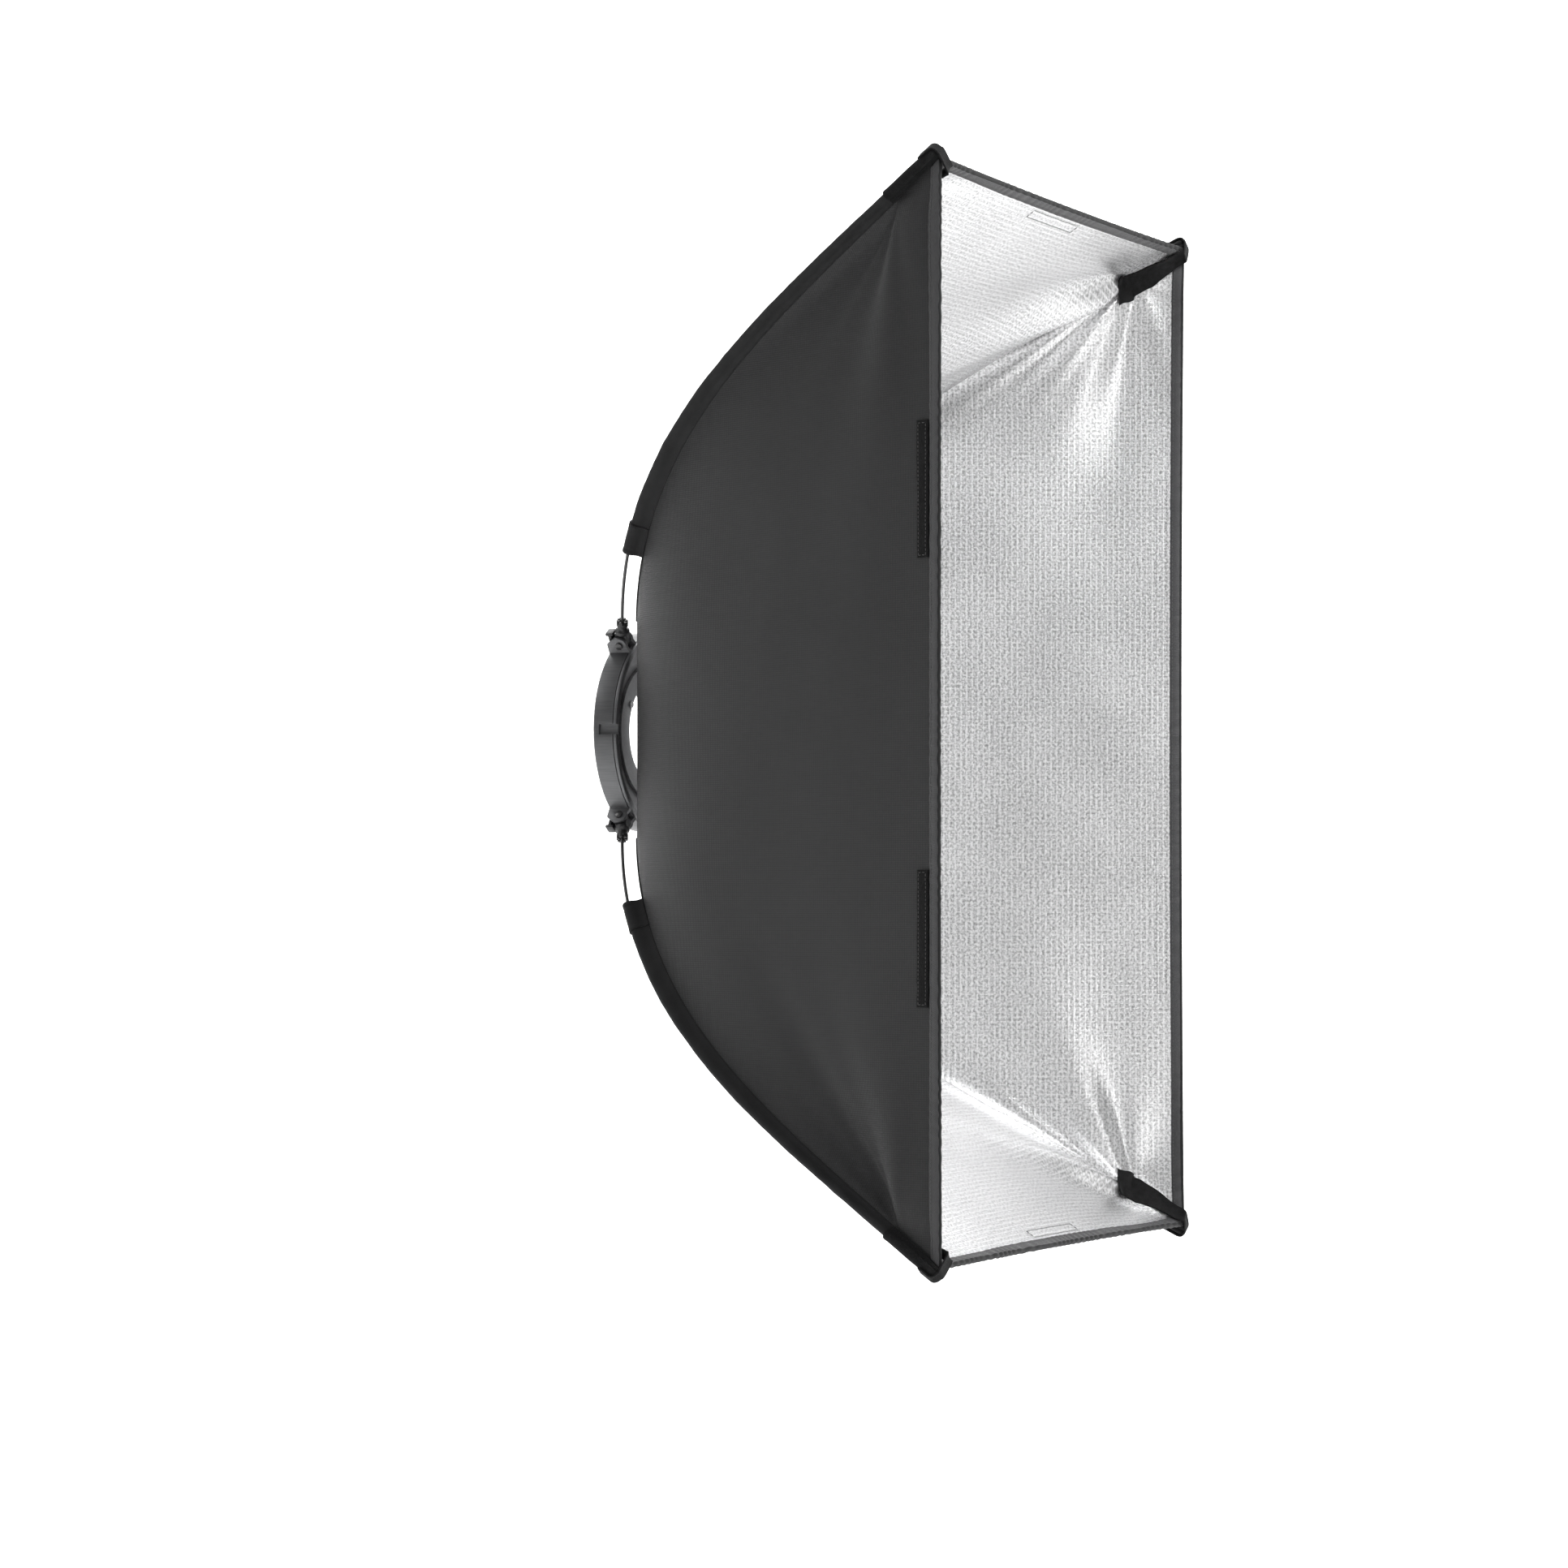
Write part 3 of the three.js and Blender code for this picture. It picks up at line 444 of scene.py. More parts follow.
def face_out(obj):
    """Turns the faces of a closed piece outwards."""
    shell = bmesh.new()
    shell.from_mesh(obj.data)
    bmesh.ops.recalc_face_normals(shell, faces=shell.faces)
    if shell.calc_volume(signed=True) < 0:
        bmesh.ops.reverse_faces(shell, faces=shell.faces)
    shell.to_mesh(obj.data)
    shell.free()


def smooth(obj, degrees=40.0):
    select_only(obj)
    bpy.ops.object.shade_smooth_by_angle(angle=math.radians(degrees))


def grid_faces(rows, columns, closed=False):
    """Quads between rows of points, with the last column joined to the first if closed."""
    faces = []
    for i in range(rows - 1):
        for j in range(columns if closed else columns - 1):
            k = (j + 1) % columns
            here, ahead = i * columns, (i + 1) * columns
            faces.append((here + j, here + k, ahead + k, ahead + j))
    return faces


def lofted(name, rings, uvs=None):
    """A closed body through rings of as many points each, flat at both ends."""
    rings = np.asarray(rings)
    count = rings.shape[1]
    faces = grid_faces(len(rings), count, closed=True)
    faces.append(tuple(reversed(range(count))))
    faces.append(tuple((len(rings) - 1) * count + k for k in range(count)))
    obj = mesh_piece(name, rings.reshape(-1, 3), faces, uvs)
    face_out(obj)
    return obj


def unit(vectors):
    return vectors / np.maximum(np.linalg.norm(vectors, axis=-1, keepdims=True), 1e-12)


def wander(values, seed, scale):
    """Smooth repeatable noise along a line of values, from about -1 to 1."""
    flat = np.ravel(values)
    made = [noise.noise(Vector((v * scale, seed * 7.31, 0.37))) for v in flat]
    return np.reshape(made, np.shape(values)) * 1.8


def wander_2d(a, b, seed, scale):
    made = [
        noise.noise(Vector((x * scale, y * scale, seed * 3.17)))
        for x, y in zip(np.ravel(a), np.ravel(b))
    ]
    return np.reshape(made, np.shape(a)) * 1.8


# ---------------------------------------------------------------------------
# The lines of the shell, read from the CAD nodes


def node_points(name):
    return coords(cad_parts[name])


def pucker(along, off, reach, pitch, seed, strength, scale):
    """Small waves along a sewn line, which fade out away from it."""
    return (
        0.00050
        * np.exp(-off / reach)
        * np.sin(2 * math.pi * along / pitch + 5 * wander(along, seed, 18.0))
        * (strength + strength * wander(along, seed + 1, scale))
    )


TALL_HALF_WIDTH = 0.457  # the side whose sag and hem pull the settings give


class Side:
    """One cloth side: its outer face as a surface, from the rear edge to the front edge."""

    def __init__(self, name):
        self.name = name
        self.seed = sum(map(ord, name))
        self.out, self.across, self.ends = SIDES[name]
        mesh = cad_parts["panel_" + name].data
        mesh.calc_loop_triangles()
        points = node_points("panel_" + name)
        found = {}
        for triangle in mesh.loop_triangles:
            corners = points[list(triangle.vertices)]
            normal = np.cross(corners[1] - corners[0], corners[2] - corners[0])
            normal /= max(np.linalg.norm(normal), 1e-15)
            outward = normal @ self.out > 0.01 and normal @ FRONT < -0.01
            if outward and abs(normal @ self.across) < 0.05:
                for point in corners:
                    depth, high, wide = point @ FRONT, point @ self.out, abs(point @ self.across)
                    key = (round(depth * 1e4), round(high * 1e4))
                    found[key] = max(found.get(key, (0, 0, 0)), (wide, depth, high))
        line = np.array(sorted(found.values(), key=lambda entry: entry[2]))
        wide, depth, high = line.T
        self.slope, self.start = np.polyfit(high, wide, 1)
        run = np.concatenate([[0], np.cumsum(np.hypot(np.diff(depth), np.diff(high)))])
        self.length = run[-1]
        self.depth_of = np.polynomial.Chebyshev.fit(run, depth, 9)
        self.high_of = np.polynomial.Chebyshev.fit(run, high, 9)

    def half_width(self, run):
        return self.slope * self.high_of(run) + self.start

    def span(self):
        return self.half_width(self.length) / TALL_HALF_WIDTH

    def seam(self, run, end):
        """Points of the seam at one end, in the row frame."""
        return (
            np.multiply.outer(self.depth_of(run), FRONT)
            + np.multiply.outer(self.high_of(run), self.out)
            + np.multiply.outer(end * self.half_width(run), self.across)
        )

    def corner_folds(self, x, back):
        """Folds that fan out from the inner end of each corner's pocket."""
        height = bpy.context.scene.softbox_cloth.fold_height
        reach = self.half_width(self.length)
        lean = (reach - self.half_width(self.length - 0.12)) / 0.12
        seam = unit(np.array([-lean, 1.0]))
        inward = np.array([-seam[1], seam[0]])
        total = np.zeros_like(x)
        for end in (1, -1):
            away = np.stack([end * x - reach, back], -1) - 0.052 * seam
            distance = np.linalg.norm(away, axis=-1)
            angle = np.degrees(np.arctan2(-(away @ inward), away @ seam)) * -1.0
            random = np.random.default_rng(self.seed + 10 * end)
            for centre in (7, 19, 33, 50, 70, 96, 124):
                at = centre + random.uniform(-4, 4)
                spread = (3.6 + 0.10 * centre) * random.uniform(0.8, 1.25)
                tall = height * random.uniform(0.55, 1.15) * (-1) ** (centre % 2)
                fade = random.uniform(0.075, 0.17) * (1.25 if centre < 60 else 0.7)
                wave = np.exp(-(((angle - at) / spread) ** 2) / 2)
                shape = (1 - np.exp(-distance / 0.028)) * np.exp(-((distance / fade) ** 1.6))
                total += tall * wave * shape
        return total

    def relief(self, run, share):
        """How far the cloth stands out from its taut shape."""
        settings = bpy.context.scene.softbox_cloth
        half = self.half_width(run)
        x = share * half
        edge = half * (1 - np.abs(share))
        back = self.length - run
        t = run / self.length
        between = 1 - share**2
        sag = settings.sag * self.span() * between * (0.8 * np.sin(math.pi * t) + 0.15 * t)
        folds = self.corner_folds(x, back) * (1 - np.exp(-back / 0.026))
        slack = 0.0011 * wander_2d(x, run, self.seed, 7.0) * np.sin(math.pi * t) * between
        seam_pucker = pucker(run, edge, 0.016, 0.0150, self.seed + 1, 0.5, 25.0)
        hem_pucker = pucker(x, back, 0.014, 0.0135, self.seed + 3, 0.6, 22.0)
        held = 1 - np.exp(-edge / 0.007)
        return -sag + held * (folds + slack + seam_pucker + hem_pucker)

    def cloth(self, run, share):
        """Points of the outer face. run is metres from the rear edge, share from -1 to 1."""
        run, share = np.broadcast_arrays(np.asarray(run, float), np.asarray(share, float))
        pull = bpy.context.scene.softbox_cloth.hem_pull * self.half_width(self.length)
        pull /= TALL_HALF_WIDTH
        t = np.clip(run / self.length, 0, 1)
        drawn = run - pull * (1 - share**2) * t**5
        depth, high = self.depth_of(drawn), self.high_of(drawn)
        ahead_depth = self.depth_of.deriv()(drawn)
        ahead_high = self.high_of.deriv()(drawn)
        scale = np.hypot(ahead_depth, ahead_high)
        lift = self.relief(run, share)
        depth = depth - lift * ahead_high / scale
        high = high + lift * ahead_depth / scale
        wide = share * self.half_width(run)
        return (
            depth[..., None] * FRONT + high[..., None] * self.out + wide[..., None] * self.across
        )

    def place(self, run, share, lift):
        """Points off the cloth by a lift. run may go past the front edge."""
        run, share, lift = np.broadcast_arrays(
            np.asarray(run, float), np.asarray(share, float), np.asarray(lift, float)
        )
        inside = np.minimum(run, self.length)
        step = 0.003
        here = self.cloth(inside, share)
        ahead = unit(here - self.cloth(inside - step, share))
        aside = unit(self.cloth(inside, share + 0.004) - self.cloth(inside, share - 0.004))
        normal = unit(np.cross(aside, ahead))
        normal *= np.sign(np.sum(normal * self.out, axis=-1, keepdims=True))
        return here + ahead * (run - inside)[..., None] + normal * lift[..., None]


class Rib:
    """One bowed rod: its centre line, and the way from it to the seam of two sides."""

    def __init__(self, corner):
        points = node_points("rib_rod_" + corner)
        left = np.ones(len(points), bool)
        centres = []
        while left.any():
            first = points[np.argmax(left)]
            near = left & (np.linalg.norm(points - first, axis=1) < 0.0034)
            centres.append(points[near].mean(0))
            left &= ~near
        centres = np.array(sorted(centres, key=lambda c: math.hypot(c[0], c[2])))
        tip = centres[-1]
        self.out = unit(np.array([tip[0], 0.0, tip[2]]))
        self.sideways = np.cross(self.out, FRONT)
        line = np.stack([centres @ self.out, centres @ FRONT], -1)
        run = np.concatenate([[0], np.cumsum(np.linalg.norm(np.diff(line, axis=0), axis=1))])
        self.length = run[-1]
        self.fit = [np.polynomial.Chebyshev.fit(run, line[:, k], 10) for k in (0, 1)]
        top = sides()["top" if "upper" in corner else "bottom"]
        at = np.linspace(0, top.length, 160)
        seam = top.seam(at, 1 if "right" in corner else -1)
        self.seam_line = np.stack([seam @ self.out, seam @ FRONT], -1)

    def frame_at(self, run):
        """Point, direction along the rib and direction into the box, in the rib's plane."""
        inside = min(run, self.length)
        point = np.array([fit(inside) for fit in self.fit])
        ahead = unit(np.array([fit.deriv()(inside) for fit in self.fit]))
        point = point + ahead * (run - inside)
        inward = np.array([-ahead[1], ahead[0]])
        return point, ahead, inward

    def to_seam(self, run):
        point, ahead, inward = self.frame_at(run)
        ahead_of = (self.seam_line - point) @ ahead
        order = np.argsort(ahead_of)
        return float(np.interp(0.0, ahead_of[order], ((self.seam_line - point) @ inward)[order]))

    def run_of(self, node, end):
        """Where along the rib a node starts (end 0) or stops (end 1)."""
        points = node_points(node)
        flat = np.stack([points @ self.out, points @ FRONT], -1)
        steps = np.linspace(0, self.length, 900)
        line = np.stack([fit(steps) for fit in self.fit], -1)
        nearest = [steps[np.argmin(np.linalg.norm(line - p, axis=1))] for p in flat]
        return max(nearest) if end else min(nearest)

    def world(self, flat, sideways=0.0):
        flat = np.asarray(flat, float)
        return (
            flat[..., :1] * self.out
            + flat[..., 1:2] * FRONT
            + np.asarray(sideways, float)[..., None] * self.sideways
        )

    def section(self, run, outline):
        """A ring of points: outline holds pairs of sideways and into the box."""
        point, _, inward = self.frame_at(run)
        outline = np.asarray(outline, float)
        return self.world(point + outline[:, 1:2] * inward, outline[:, 0])


@functools.cache
def sides():
    return {name: Side(name) for name in SIDES}


@functools.cache
def ribs():
    return {corner: Rib(corner) for corner in CORNERS}


LAYER_LEAD = 6.5  # share of the rib's turn for each metre further in


def follow(obj, side, end, shares, lifts):
    """Bakes the piece's transform into its mesh and works out how far each point would go with the
    rib at one end, from none near the side's middle to all at that end. These weights are not
    stored, so the piece does not bend.

    lifts are the points' heights off the outer face. A point further in gets a little more of the
    rib's share, so that the layers would stay in order where the cloth turns over.
    """
    middle = side.cloth(side.length, 0.0)
    seam = side.seam(side.length, end)
    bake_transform(obj)
    t = np.clip((np.abs(shares) - 0.2) / 0.8, 0, 1)
    weights = t * t * (3 - 2 * t)
    between = np.clip(np.minimum(weights, 1 - weights) / 0.12, 0, 1)
    weights = np.clip(weights - LAYER_LEAD * np.asarray(lifts) * between, 0, 1)


def share_of(side, obj):
    """Each point's place across the side, from -1 to 1, whatever its lift."""
    points = coords(obj)
    depth = points @ FRONT
    steps = np.linspace(0, side.length, 400)
    half = np.interp(depth, side.depth_of(steps), side.half_width(steps))
    return np.clip((points @ side.across) / half, -1, 1)


THREAD_RADIUS = 0.00028
STITCH_SHARE = 0.68  # of the stitch pitch that shows as thread


def stitch_row(points, normals):
    """Points and faces of a row of short threads, each on its own stretch of the line."""
    made, faces = [], []
    radius = THREAD_RADIUS
    for i in range(len(points) - 1):
        start, stop = points[i], points[i] + (points[i + 1] - points[i]) * STITCH_SHARE
        ahead = unit(stop - start)
        normal = normals[i]
        side = np.cross(ahead, normal)
        base = len(made)
        for centre, size in ((start, 0.35), (start + (stop - start) * 0.25, 1.0),
                             (start + (stop - start) * 0.75, 1.0), (stop, 0.35)):
            lift = normal * radius * (0.4 if size < 1 else 1.0)
            for turn in range(4):
                angle = math.pi / 4 + turn * math.pi / 2
                spoke = math.cos(angle) * side + math.sin(angle) * normal
                made.append(centre + lift + size * radius * spoke)
        faces += [tuple(base + k for k in face) for face in grid_faces(4, 4, closed=True)]
        faces += [tuple(base + k for k in cap) for cap in ((3, 2, 1, 0), (12, 13, 14, 15))]
    return made, faces


def side_stitches(name, side, rows):
    """One mesh of sewn rows on a side, and its points' lifts. A row is (runs, shares, lift)."""
    points, faces, lifts = [], [], []
    for runs, shares, lift in rows:
        line = side.place(runs, shares, lift)
        off = side.place(runs, shares, lift + 0.001 * np.sign(lift if lift else 1))
        made, rowed = stitch_row(line, unit(off - line))
        faces += [tuple(len(points) + k for k in face) for face in rowed]
        points += made
        lifts += [lift] * len(made)
    obj = mesh_piece(name, points, faces)
    face_out(obj)
    dress(obj, "sewing_thread")
    smooth(obj, 60.0)
    return obj, lifts


# ---------------------------------------------------------------------------
# Stage


# Name, place, aim, width, height, power in watts
LAMPS = (
    ("key", (-1.6, 2.4, 2.4), (0.0, -0.1, 0.0), 1.2, 1.8, 30.0),
    ("low_key", (-1.4, 2.6, -1.2), (0.0, -0.1, 0.0), 1.0, 1.2, 12.0),
    ("front", (1.7, -3.0, 0.9), (0.0, -0.3, 0.0), 1.4, 1.8, 9.0),
    ("low_fill", (-0.3, -1.6, 1.7), (0.0, -0.3, -0.45), 0.7, 0.7, 54.0),
    ("high_fill", (-0.3, -1.6, -1.7), (0.0, -0.3, 0.45), 0.7, 0.7, 13.0),
    ("high_streak", (-2.6, -2.6, 2.3), (0.2, -0.3, 0.2), 0.35, 0.45, 36.0),
    ("low_streak", (-2.6, -2.6, -2.0), (0.2, -0.3, -0.2), 0.35, 0.45, 22.0),
    ("tall_streak", (-2.2, -3.6, 0.1), (0.2, -0.3, 0.0), 0.25, 2.6, 12.0),
    ("backdrop_wash", (1.6, 0.9, 3.4), (3.4, 1.4, -0.6), 3.0, 1.4, 150.0),
)
CAMERA_PLACE = (-3.9617, -1.8923, -0.1583)
CAMERA_HEADING = -66.245  # degrees about Z
CAMERA_SHIFT = 0.0794
FLOOR_EDGE, FLOOR_BEND = -9.0, 2.0  # before and behind the origin, along the view
BEND_RADIUS, BEND_STEPS = 1.6, 12
WALL_HEIGHT, HALF_BACKDROP = 6.0, 9.0


class SOFTBOX_OT_stage(bpy.types.Operator):
    """Floor and backdrop, soft lights and the camera"""

    bl_idname = "softbox.stage"
    bl_label = "Stage"

    def execute(self, context):
        settings = context.scene.softbox_stage
        self.backdrop(CAD_BOX[0].z - settings.floor_drop)
        self.lights()
        self.camera(settings)
        world = bpy.data.worlds.new("studio")
        context.scene.world = world
        world.use_nodes = True
        background = world.node_tree.nodes["Background"]
        background.inputs["Color"].default_value = (1.0, 1.0, 1.0, 1.0)
        background.inputs["Strength"].default_value = 0.23
        context.scene.view_settings.view_transform = "Standard"
        return {"FINISHED"}

    def backdrop(self, floor_at):
        profile = [(FLOOR_EDGE, floor_at), (FLOOR_BEND, floor_at)]
        for step in range(1, BEND_STEPS + 1):
            angle = step / BEND_STEPS * math.pi / 2
            profile.append((
                FLOOR_BEND + BEND_RADIUS * math.sin(angle),
                floor_at + BEND_RADIUS * (1 - math.cos(angle)),
            ))
        profile.append((FLOOR_BEND + BEND_RADIUS, floor_at + WALL_HEIGHT))
        # The backdrop stands square to the camera's direction.
        ahead = np.array([0.9193, 0.3937, 0.0])
        aside = np.array([0.3937, -0.9193, 0.0])
        points = [
            ahead * run + UP * up + aside * wide
            for run, up in profile
            for wide in (-HALF_BACKDROP, HALF_BACKDROP)
        ]
        obj = mesh_piece("backdrop", points, grid_faces(len(profile), 2))
        smooth(obj, 60.0)
        paper = Finish(
            "backdrop_paper", roughness=0.9, Emission_Color=(1.0, 1.0, 1.0, 1.0),
            Emission_Strength=0.62)
        fibre = paper.noise(paper.where(), 40.0, 2.0)
        paper.colour(fibre, (0.3, 0.93), (0.7, 0.95))
        obj.data.materials.append(paper.material)

    def lights(self):
        for name, place, aim, width, height, power in LAMPS:
            lamp = bpy.data.lights.new(name, "AREA")
            lamp.shape = "RECTANGLE"
            lamp.size, lamp.size_y = width, height
            lamp.energy = power
            obj = bpy.data.objects.new(name, lamp)
            bpy.context.scene.collection.objects.link(obj)
            obj.location = place
            obj.rotation_euler = (Vector(aim) - Vector(place)).to_track_quat("-Z", "Y").to_euler()

    def camera(self, settings):
        data = bpy.data.cameras.new("camera")
        data.lens = settings.lens
        data.sensor_width = 36.0
        data.shift_y = CAMERA_SHIFT
        data.clip_end = 60.0
        camera = bpy.data.objects.new("camera", data)
        bpy.context.scene.collection.objects.link(camera)
        camera.location = CAMERA_PLACE
        camera.rotation_euler = (math.radians(90.0), 0.0, math.radians(CAMERA_HEADING))
        bpy.context.scene.camera = camera


# ---------------------------------------------------------------------------
# Hardware


def finished_copy(node, name, material, edge, body, smooth_angle=35.0):
    """A copy of a CAD node with rounded edges and smooth faces, in place of the node."""
    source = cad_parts[node]
    obj = bpy.data.objects.new(name, source.data.copy())
    bpy.context.scene.collection.objects.link(obj)
    edit_merged(obj, 0.000002)
    bpy.ops.mesh.dissolve_limited(angle_limit=math.radians(0.8))
    bpy.ops.object.mode_set(mode="OBJECT")
    if edge:
        bevel = obj.modifiers.new("edge", "BEVEL")
        bevel.width = edge
        bevel.segments = 2
        bevel.limit_method = "ANGLE"
        bevel.angle_limit = math.radians(32.0)
        bevel.harden_normals = False
        apply_modifiers(obj)
    settle(obj, material, smooth_angle, node, body)
    return obj


class SOFTBOX_OT_light_mount(bpy.types.Operator):
    """Bayonet insert, glide ring, retaining ring and its screws"""

    bl_idname = "softbox.light_mount"
    bl_label = "Light mount"

    def execute(self, context):
        edge = context.scene.softbox_hardware.edge
        for node, name, material in (
            ("bayonet_insert", "bayonet_mount", "anodised_alloy"),
            ("retaining_ring", "retaining_plate", "anodised_alloy"),
            ("glide_ring", "glide_washer", "glide_plastic"),
        ):
            finished_copy(node, name, material, edge, "light_mount")
        for number in (1, 2, 3):
            finished_copy(
                f"retaining_screw_{number}", f"cap_screw_{number}", "bright_steel",
                edge / 2, "light_mount")
        return {"FINISHED"}


class SOFTBOX_OT_speed_ring(bpy.types.Operator):
    """Drum of the speed ring with its hinge pins and latch springs"""

    bl_idname = "softbox.speed_ring"
    bl_label = "Speed ring"

    def execute(self, context):
        edge = context.scene.softbox_hardware.edge
        finished_copy("speed_ring", "speed_ring_drum", "anodised_alloy", edge, RING_BODY)
        for corner in CORNERS:
            finished_copy(
                "hinge_pin_" + corner, "hinge_rivet_" + corner, "rod_coating", edge, RING_BODY)
            self.coil(corner)
        return {"FINISHED"}

    def coil(self, corner):
        """A finished copy of the latch spring, its transform baked into its mesh."""
        obj = finished_copy(
            "latch_spring_" + corner, "latch_coil_" + corner, "bright_steel", 0, None,
            smooth_angle=80.0)
        out = ribs()[corner].out
        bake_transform(obj)


class SOFTBOX_OT_knuckles(bpy.types.Operator):
    """Rod sockets, release tabs and tip caps"""

    bl_idname = "softbox.knuckles"
    bl_label = "Knuckles"

    def execute(self, context):
        edge = context.scene.softbox_hardware.edge
        for corner in CORNERS:
            for node, name, material, body in (
                ("rod_socket_", "socket_", "moulded_plastic", "rib_"),
                ("release_tab_", "release_key_", "moulded_plastic", "tab_"),
                ("tip_cap_", "rod_cap_", "cap_rubber", "rib_"),
            ):
                finished_copy(node + corner, name + corner, material, edge, body + corner)
        return {"FINISHED"}


def line_piece(name, points, radius, material, sides_round=4):
    """A round rod or piping along points, made from a curve."""
    bpy.ops.curve.primitive_bezier_curve_add(location=(0.0, 0.0, 0.0))
    obj = bpy.context.object
    obj.name = name
    curve = obj.data
    curve.splines.clear()
    spline = curve.splines.new("POLY")
    spline.points.add(len(points) - 1)
    for point, place in zip(spline.points, points):
        point.co = (*map(float, place), 1.0)
    curve.dimensions = "3D"
    curve.bevel_depth = radius
    curve.bevel_resolution = sides_round
    curve.use_fill_caps = True
    select_only(obj)
    bpy.ops.object.convert(target="MESH")
    obj = bpy.context.object
    edit_merged(obj, 0.00001)
    bpy.ops.mesh.normals_make_consistent(inside=False)
    bpy.ops.object.mode_set(mode="OBJECT")
    dress(obj, material)
    smooth(obj, 50.0)
    return obj


class SOFTBOX_OT_rib_rods(bpy.types.Operator):
    """Bowed rods of the ribs"""

    bl_idname = "softbox.rib_rods"
    bl_label = "Rib rods"

    def execute(self, context):
        for corner, rib in ribs().items():
            steps = np.linspace(0, rib.length, 110)
            points = [rib.world(rib.frame_at(step)[0], 0.0) for step in steps]
            obj = line_piece("bowed_rod_" + corner, points, 0.0015, "rod_coating")
            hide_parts("rib_rod_" + corner)
            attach(obj, "rib_" + corner)
        return {"FINISHED"}


# ---------------------------------------------------------------------------
# Cloth


class SOFTBOX_OT_shell(bpy.types.Operator):
    """Four cloth sides, each in two halves that meet at its middle"""

    bl_idname = "softbox.shell"
    bl_label = "Shell"

    rows = 116
    columns = 84

    def execute(self, context):
        for side in sides().values():
            for end in (1, -1):
                self.half(context, side, end)
        return {"FINISHED"}

    def half(self, context, side, end):
        run = side.length * np.linspace(0, 1, self.rows) ** 0.94
        across = 1 - (1 - np.linspace(0, 1, self.columns)) ** 1.25
        share = end * across
        runs, shares = np.meshgrid(run, share, indexing="ij")
        points = side.cloth(runs, shares)
        # The seam's two sides stay a little apart.
        gap = 0.0004 * np.clip((np.abs(shares) - 0.9) / 0.1, 0, 1)
        points = points - end * gap[..., None] * side.across
        uvs = np.stack([shares * side.half_width(runs), runs], -1)
        name = f"cloth_{side.name}_{side.ends[end]}"
        faces = grid_faces(self.rows, self.columns)
        obj = mesh_piece(name, points.reshape(-1, 3), faces, uvs.reshape(-1, 2))
        outward = side.place(run[0], share[0], 0.001) - side.cloth(run[0], share[0])
        if obj.data.polygons[0].normal @ Vector(outward) < 0:
            obj.data.flip_normals()
        # The side bends one way only, so it unrolls to its half widths along its run.
        half = side.half_width(run)
        dress(obj, "outer_cloth", "silver_lining")
        wall = obj.modifiers.new("wall", "SOLIDIFY")
        wall.thickness = context.scene.softbox_cloth.thickness
        wall.offset = -1.0
        wall.use_even_offset = True
        wall.material_offset = 1
        wall.material_offset_rim = 0
        apply_modifiers(obj)
        smooth(obj, 50.0)
        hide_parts("panel_" + side.name)
        # The solid has the outer face's points first, then as many of the lining.
        lining = -context.scene.softbox_cloth.thickness
        follow(obj, side, end, np.tile(shares.ravel(), 2), np.repeat((0.0, lining), shares.size))
        wide = float(side.half_width(side.length))


class SOFTBOX_OT_bindings(bpy.types.Operator):
    """Tape folded over the front edges, and its stitches"""

    bl_idname = "softbox.bindings"
    bl_label = "Bindings"

    # Tape section: metres to the front of the cloth's edge, metres out of the cloth.
    outline = [
        (-8.8, 0.30), (-8.9, 0.85), (-8.2, 1.30), (-6.9, 1.22), (-5.6, 1.48), (-2.5, 1.60),
        (0.2, 1.62), (1.5, 1.25), (2.2, 0.35), (2.35, -0.6), (2.05, -1.7), (1.2, -2.6),
        (-0.2, -3.0), (-3.0, -3.05), (-5.6, -2.95), (-6.9, -2.65), (-8.2, -2.75),
        (-8.9, -2.3), (-8.8, -1.75), (-4.0, -1.72), (0.3, -1.7), (0.35, -0.7), (0.3, 0.28),
        (-4.0, 0.3),
    ]

    def execute(self, context):
        pitch = context.scene.softbox_trim.stitch_pitch
        for side in sides().values():
            share = 1 - 0.0015 / side.half_width(side.length)
            for end in (1, -1):
                self.half(side, end, share, pitch)
        return {"FINISHED"}

    def darken_nose(self, obj, around):
        """The faces round the tape's front fold get the darker piping cloth."""
        for face in obj.data.polygons:
            column = sorted(index % around for index in face.vertices)
            if len(face.vertices) == 4 and column[0] >= 7 and column[-1] <= 12:
                face.material_index = 1

    def half(self, side, end, share, pitch):
        shares = end * np.linspace(0, share, 132)
        outline = np.array(self.outline) * MM
        x = shares * side.half_width(side.length)
        flutter = 1 + 0.07 * wander(x, side.seed + 20, 30.0)
        runs = side.length + outline[None, :, 0] * np.ones_like(shares)[:, None]
        lifts = outline[None, :, 1] * flutter[:, None]
        rings = side.place(runs, shares[:, None], lifts)
        around = np.concatenate([[0], np.cumsum(np.linalg.norm(np.diff(outline, axis=0), axis=1))])
        uvs = np.stack(np.broadcast_arrays(x[:, None], around[None, :]), -1).reshape(-1, 2)
        name = f"tape_{side.name}_{side.ends[end]}"
        obj = lofted(name, rings, uvs)
        dress(obj, "binding_tape", "piping_cloth")
        self.darken_nose(obj, len(outline))
        smooth(obj, 55.0)
        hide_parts("binding_" + side.name)
        count = int(abs(x[-1]) / pitch)
        sewn = end * np.linspace(0.002, share - 0.002, count)
        rows = [
            (np.full(count, side.length - 0.0069), sewn, 0.00120),
            (np.full(count, side.length - 0.0069), sewn, -0.00265),
        ]
        stitches, sewn_lifts = side_stitches("stitches_" + name, side, rows)
        follow(obj, side, end, np.repeat(shares, len(outline)), lifts.ravel())
        follow(stitches, side, end, share_of(side, stitches), sewn_lifts)


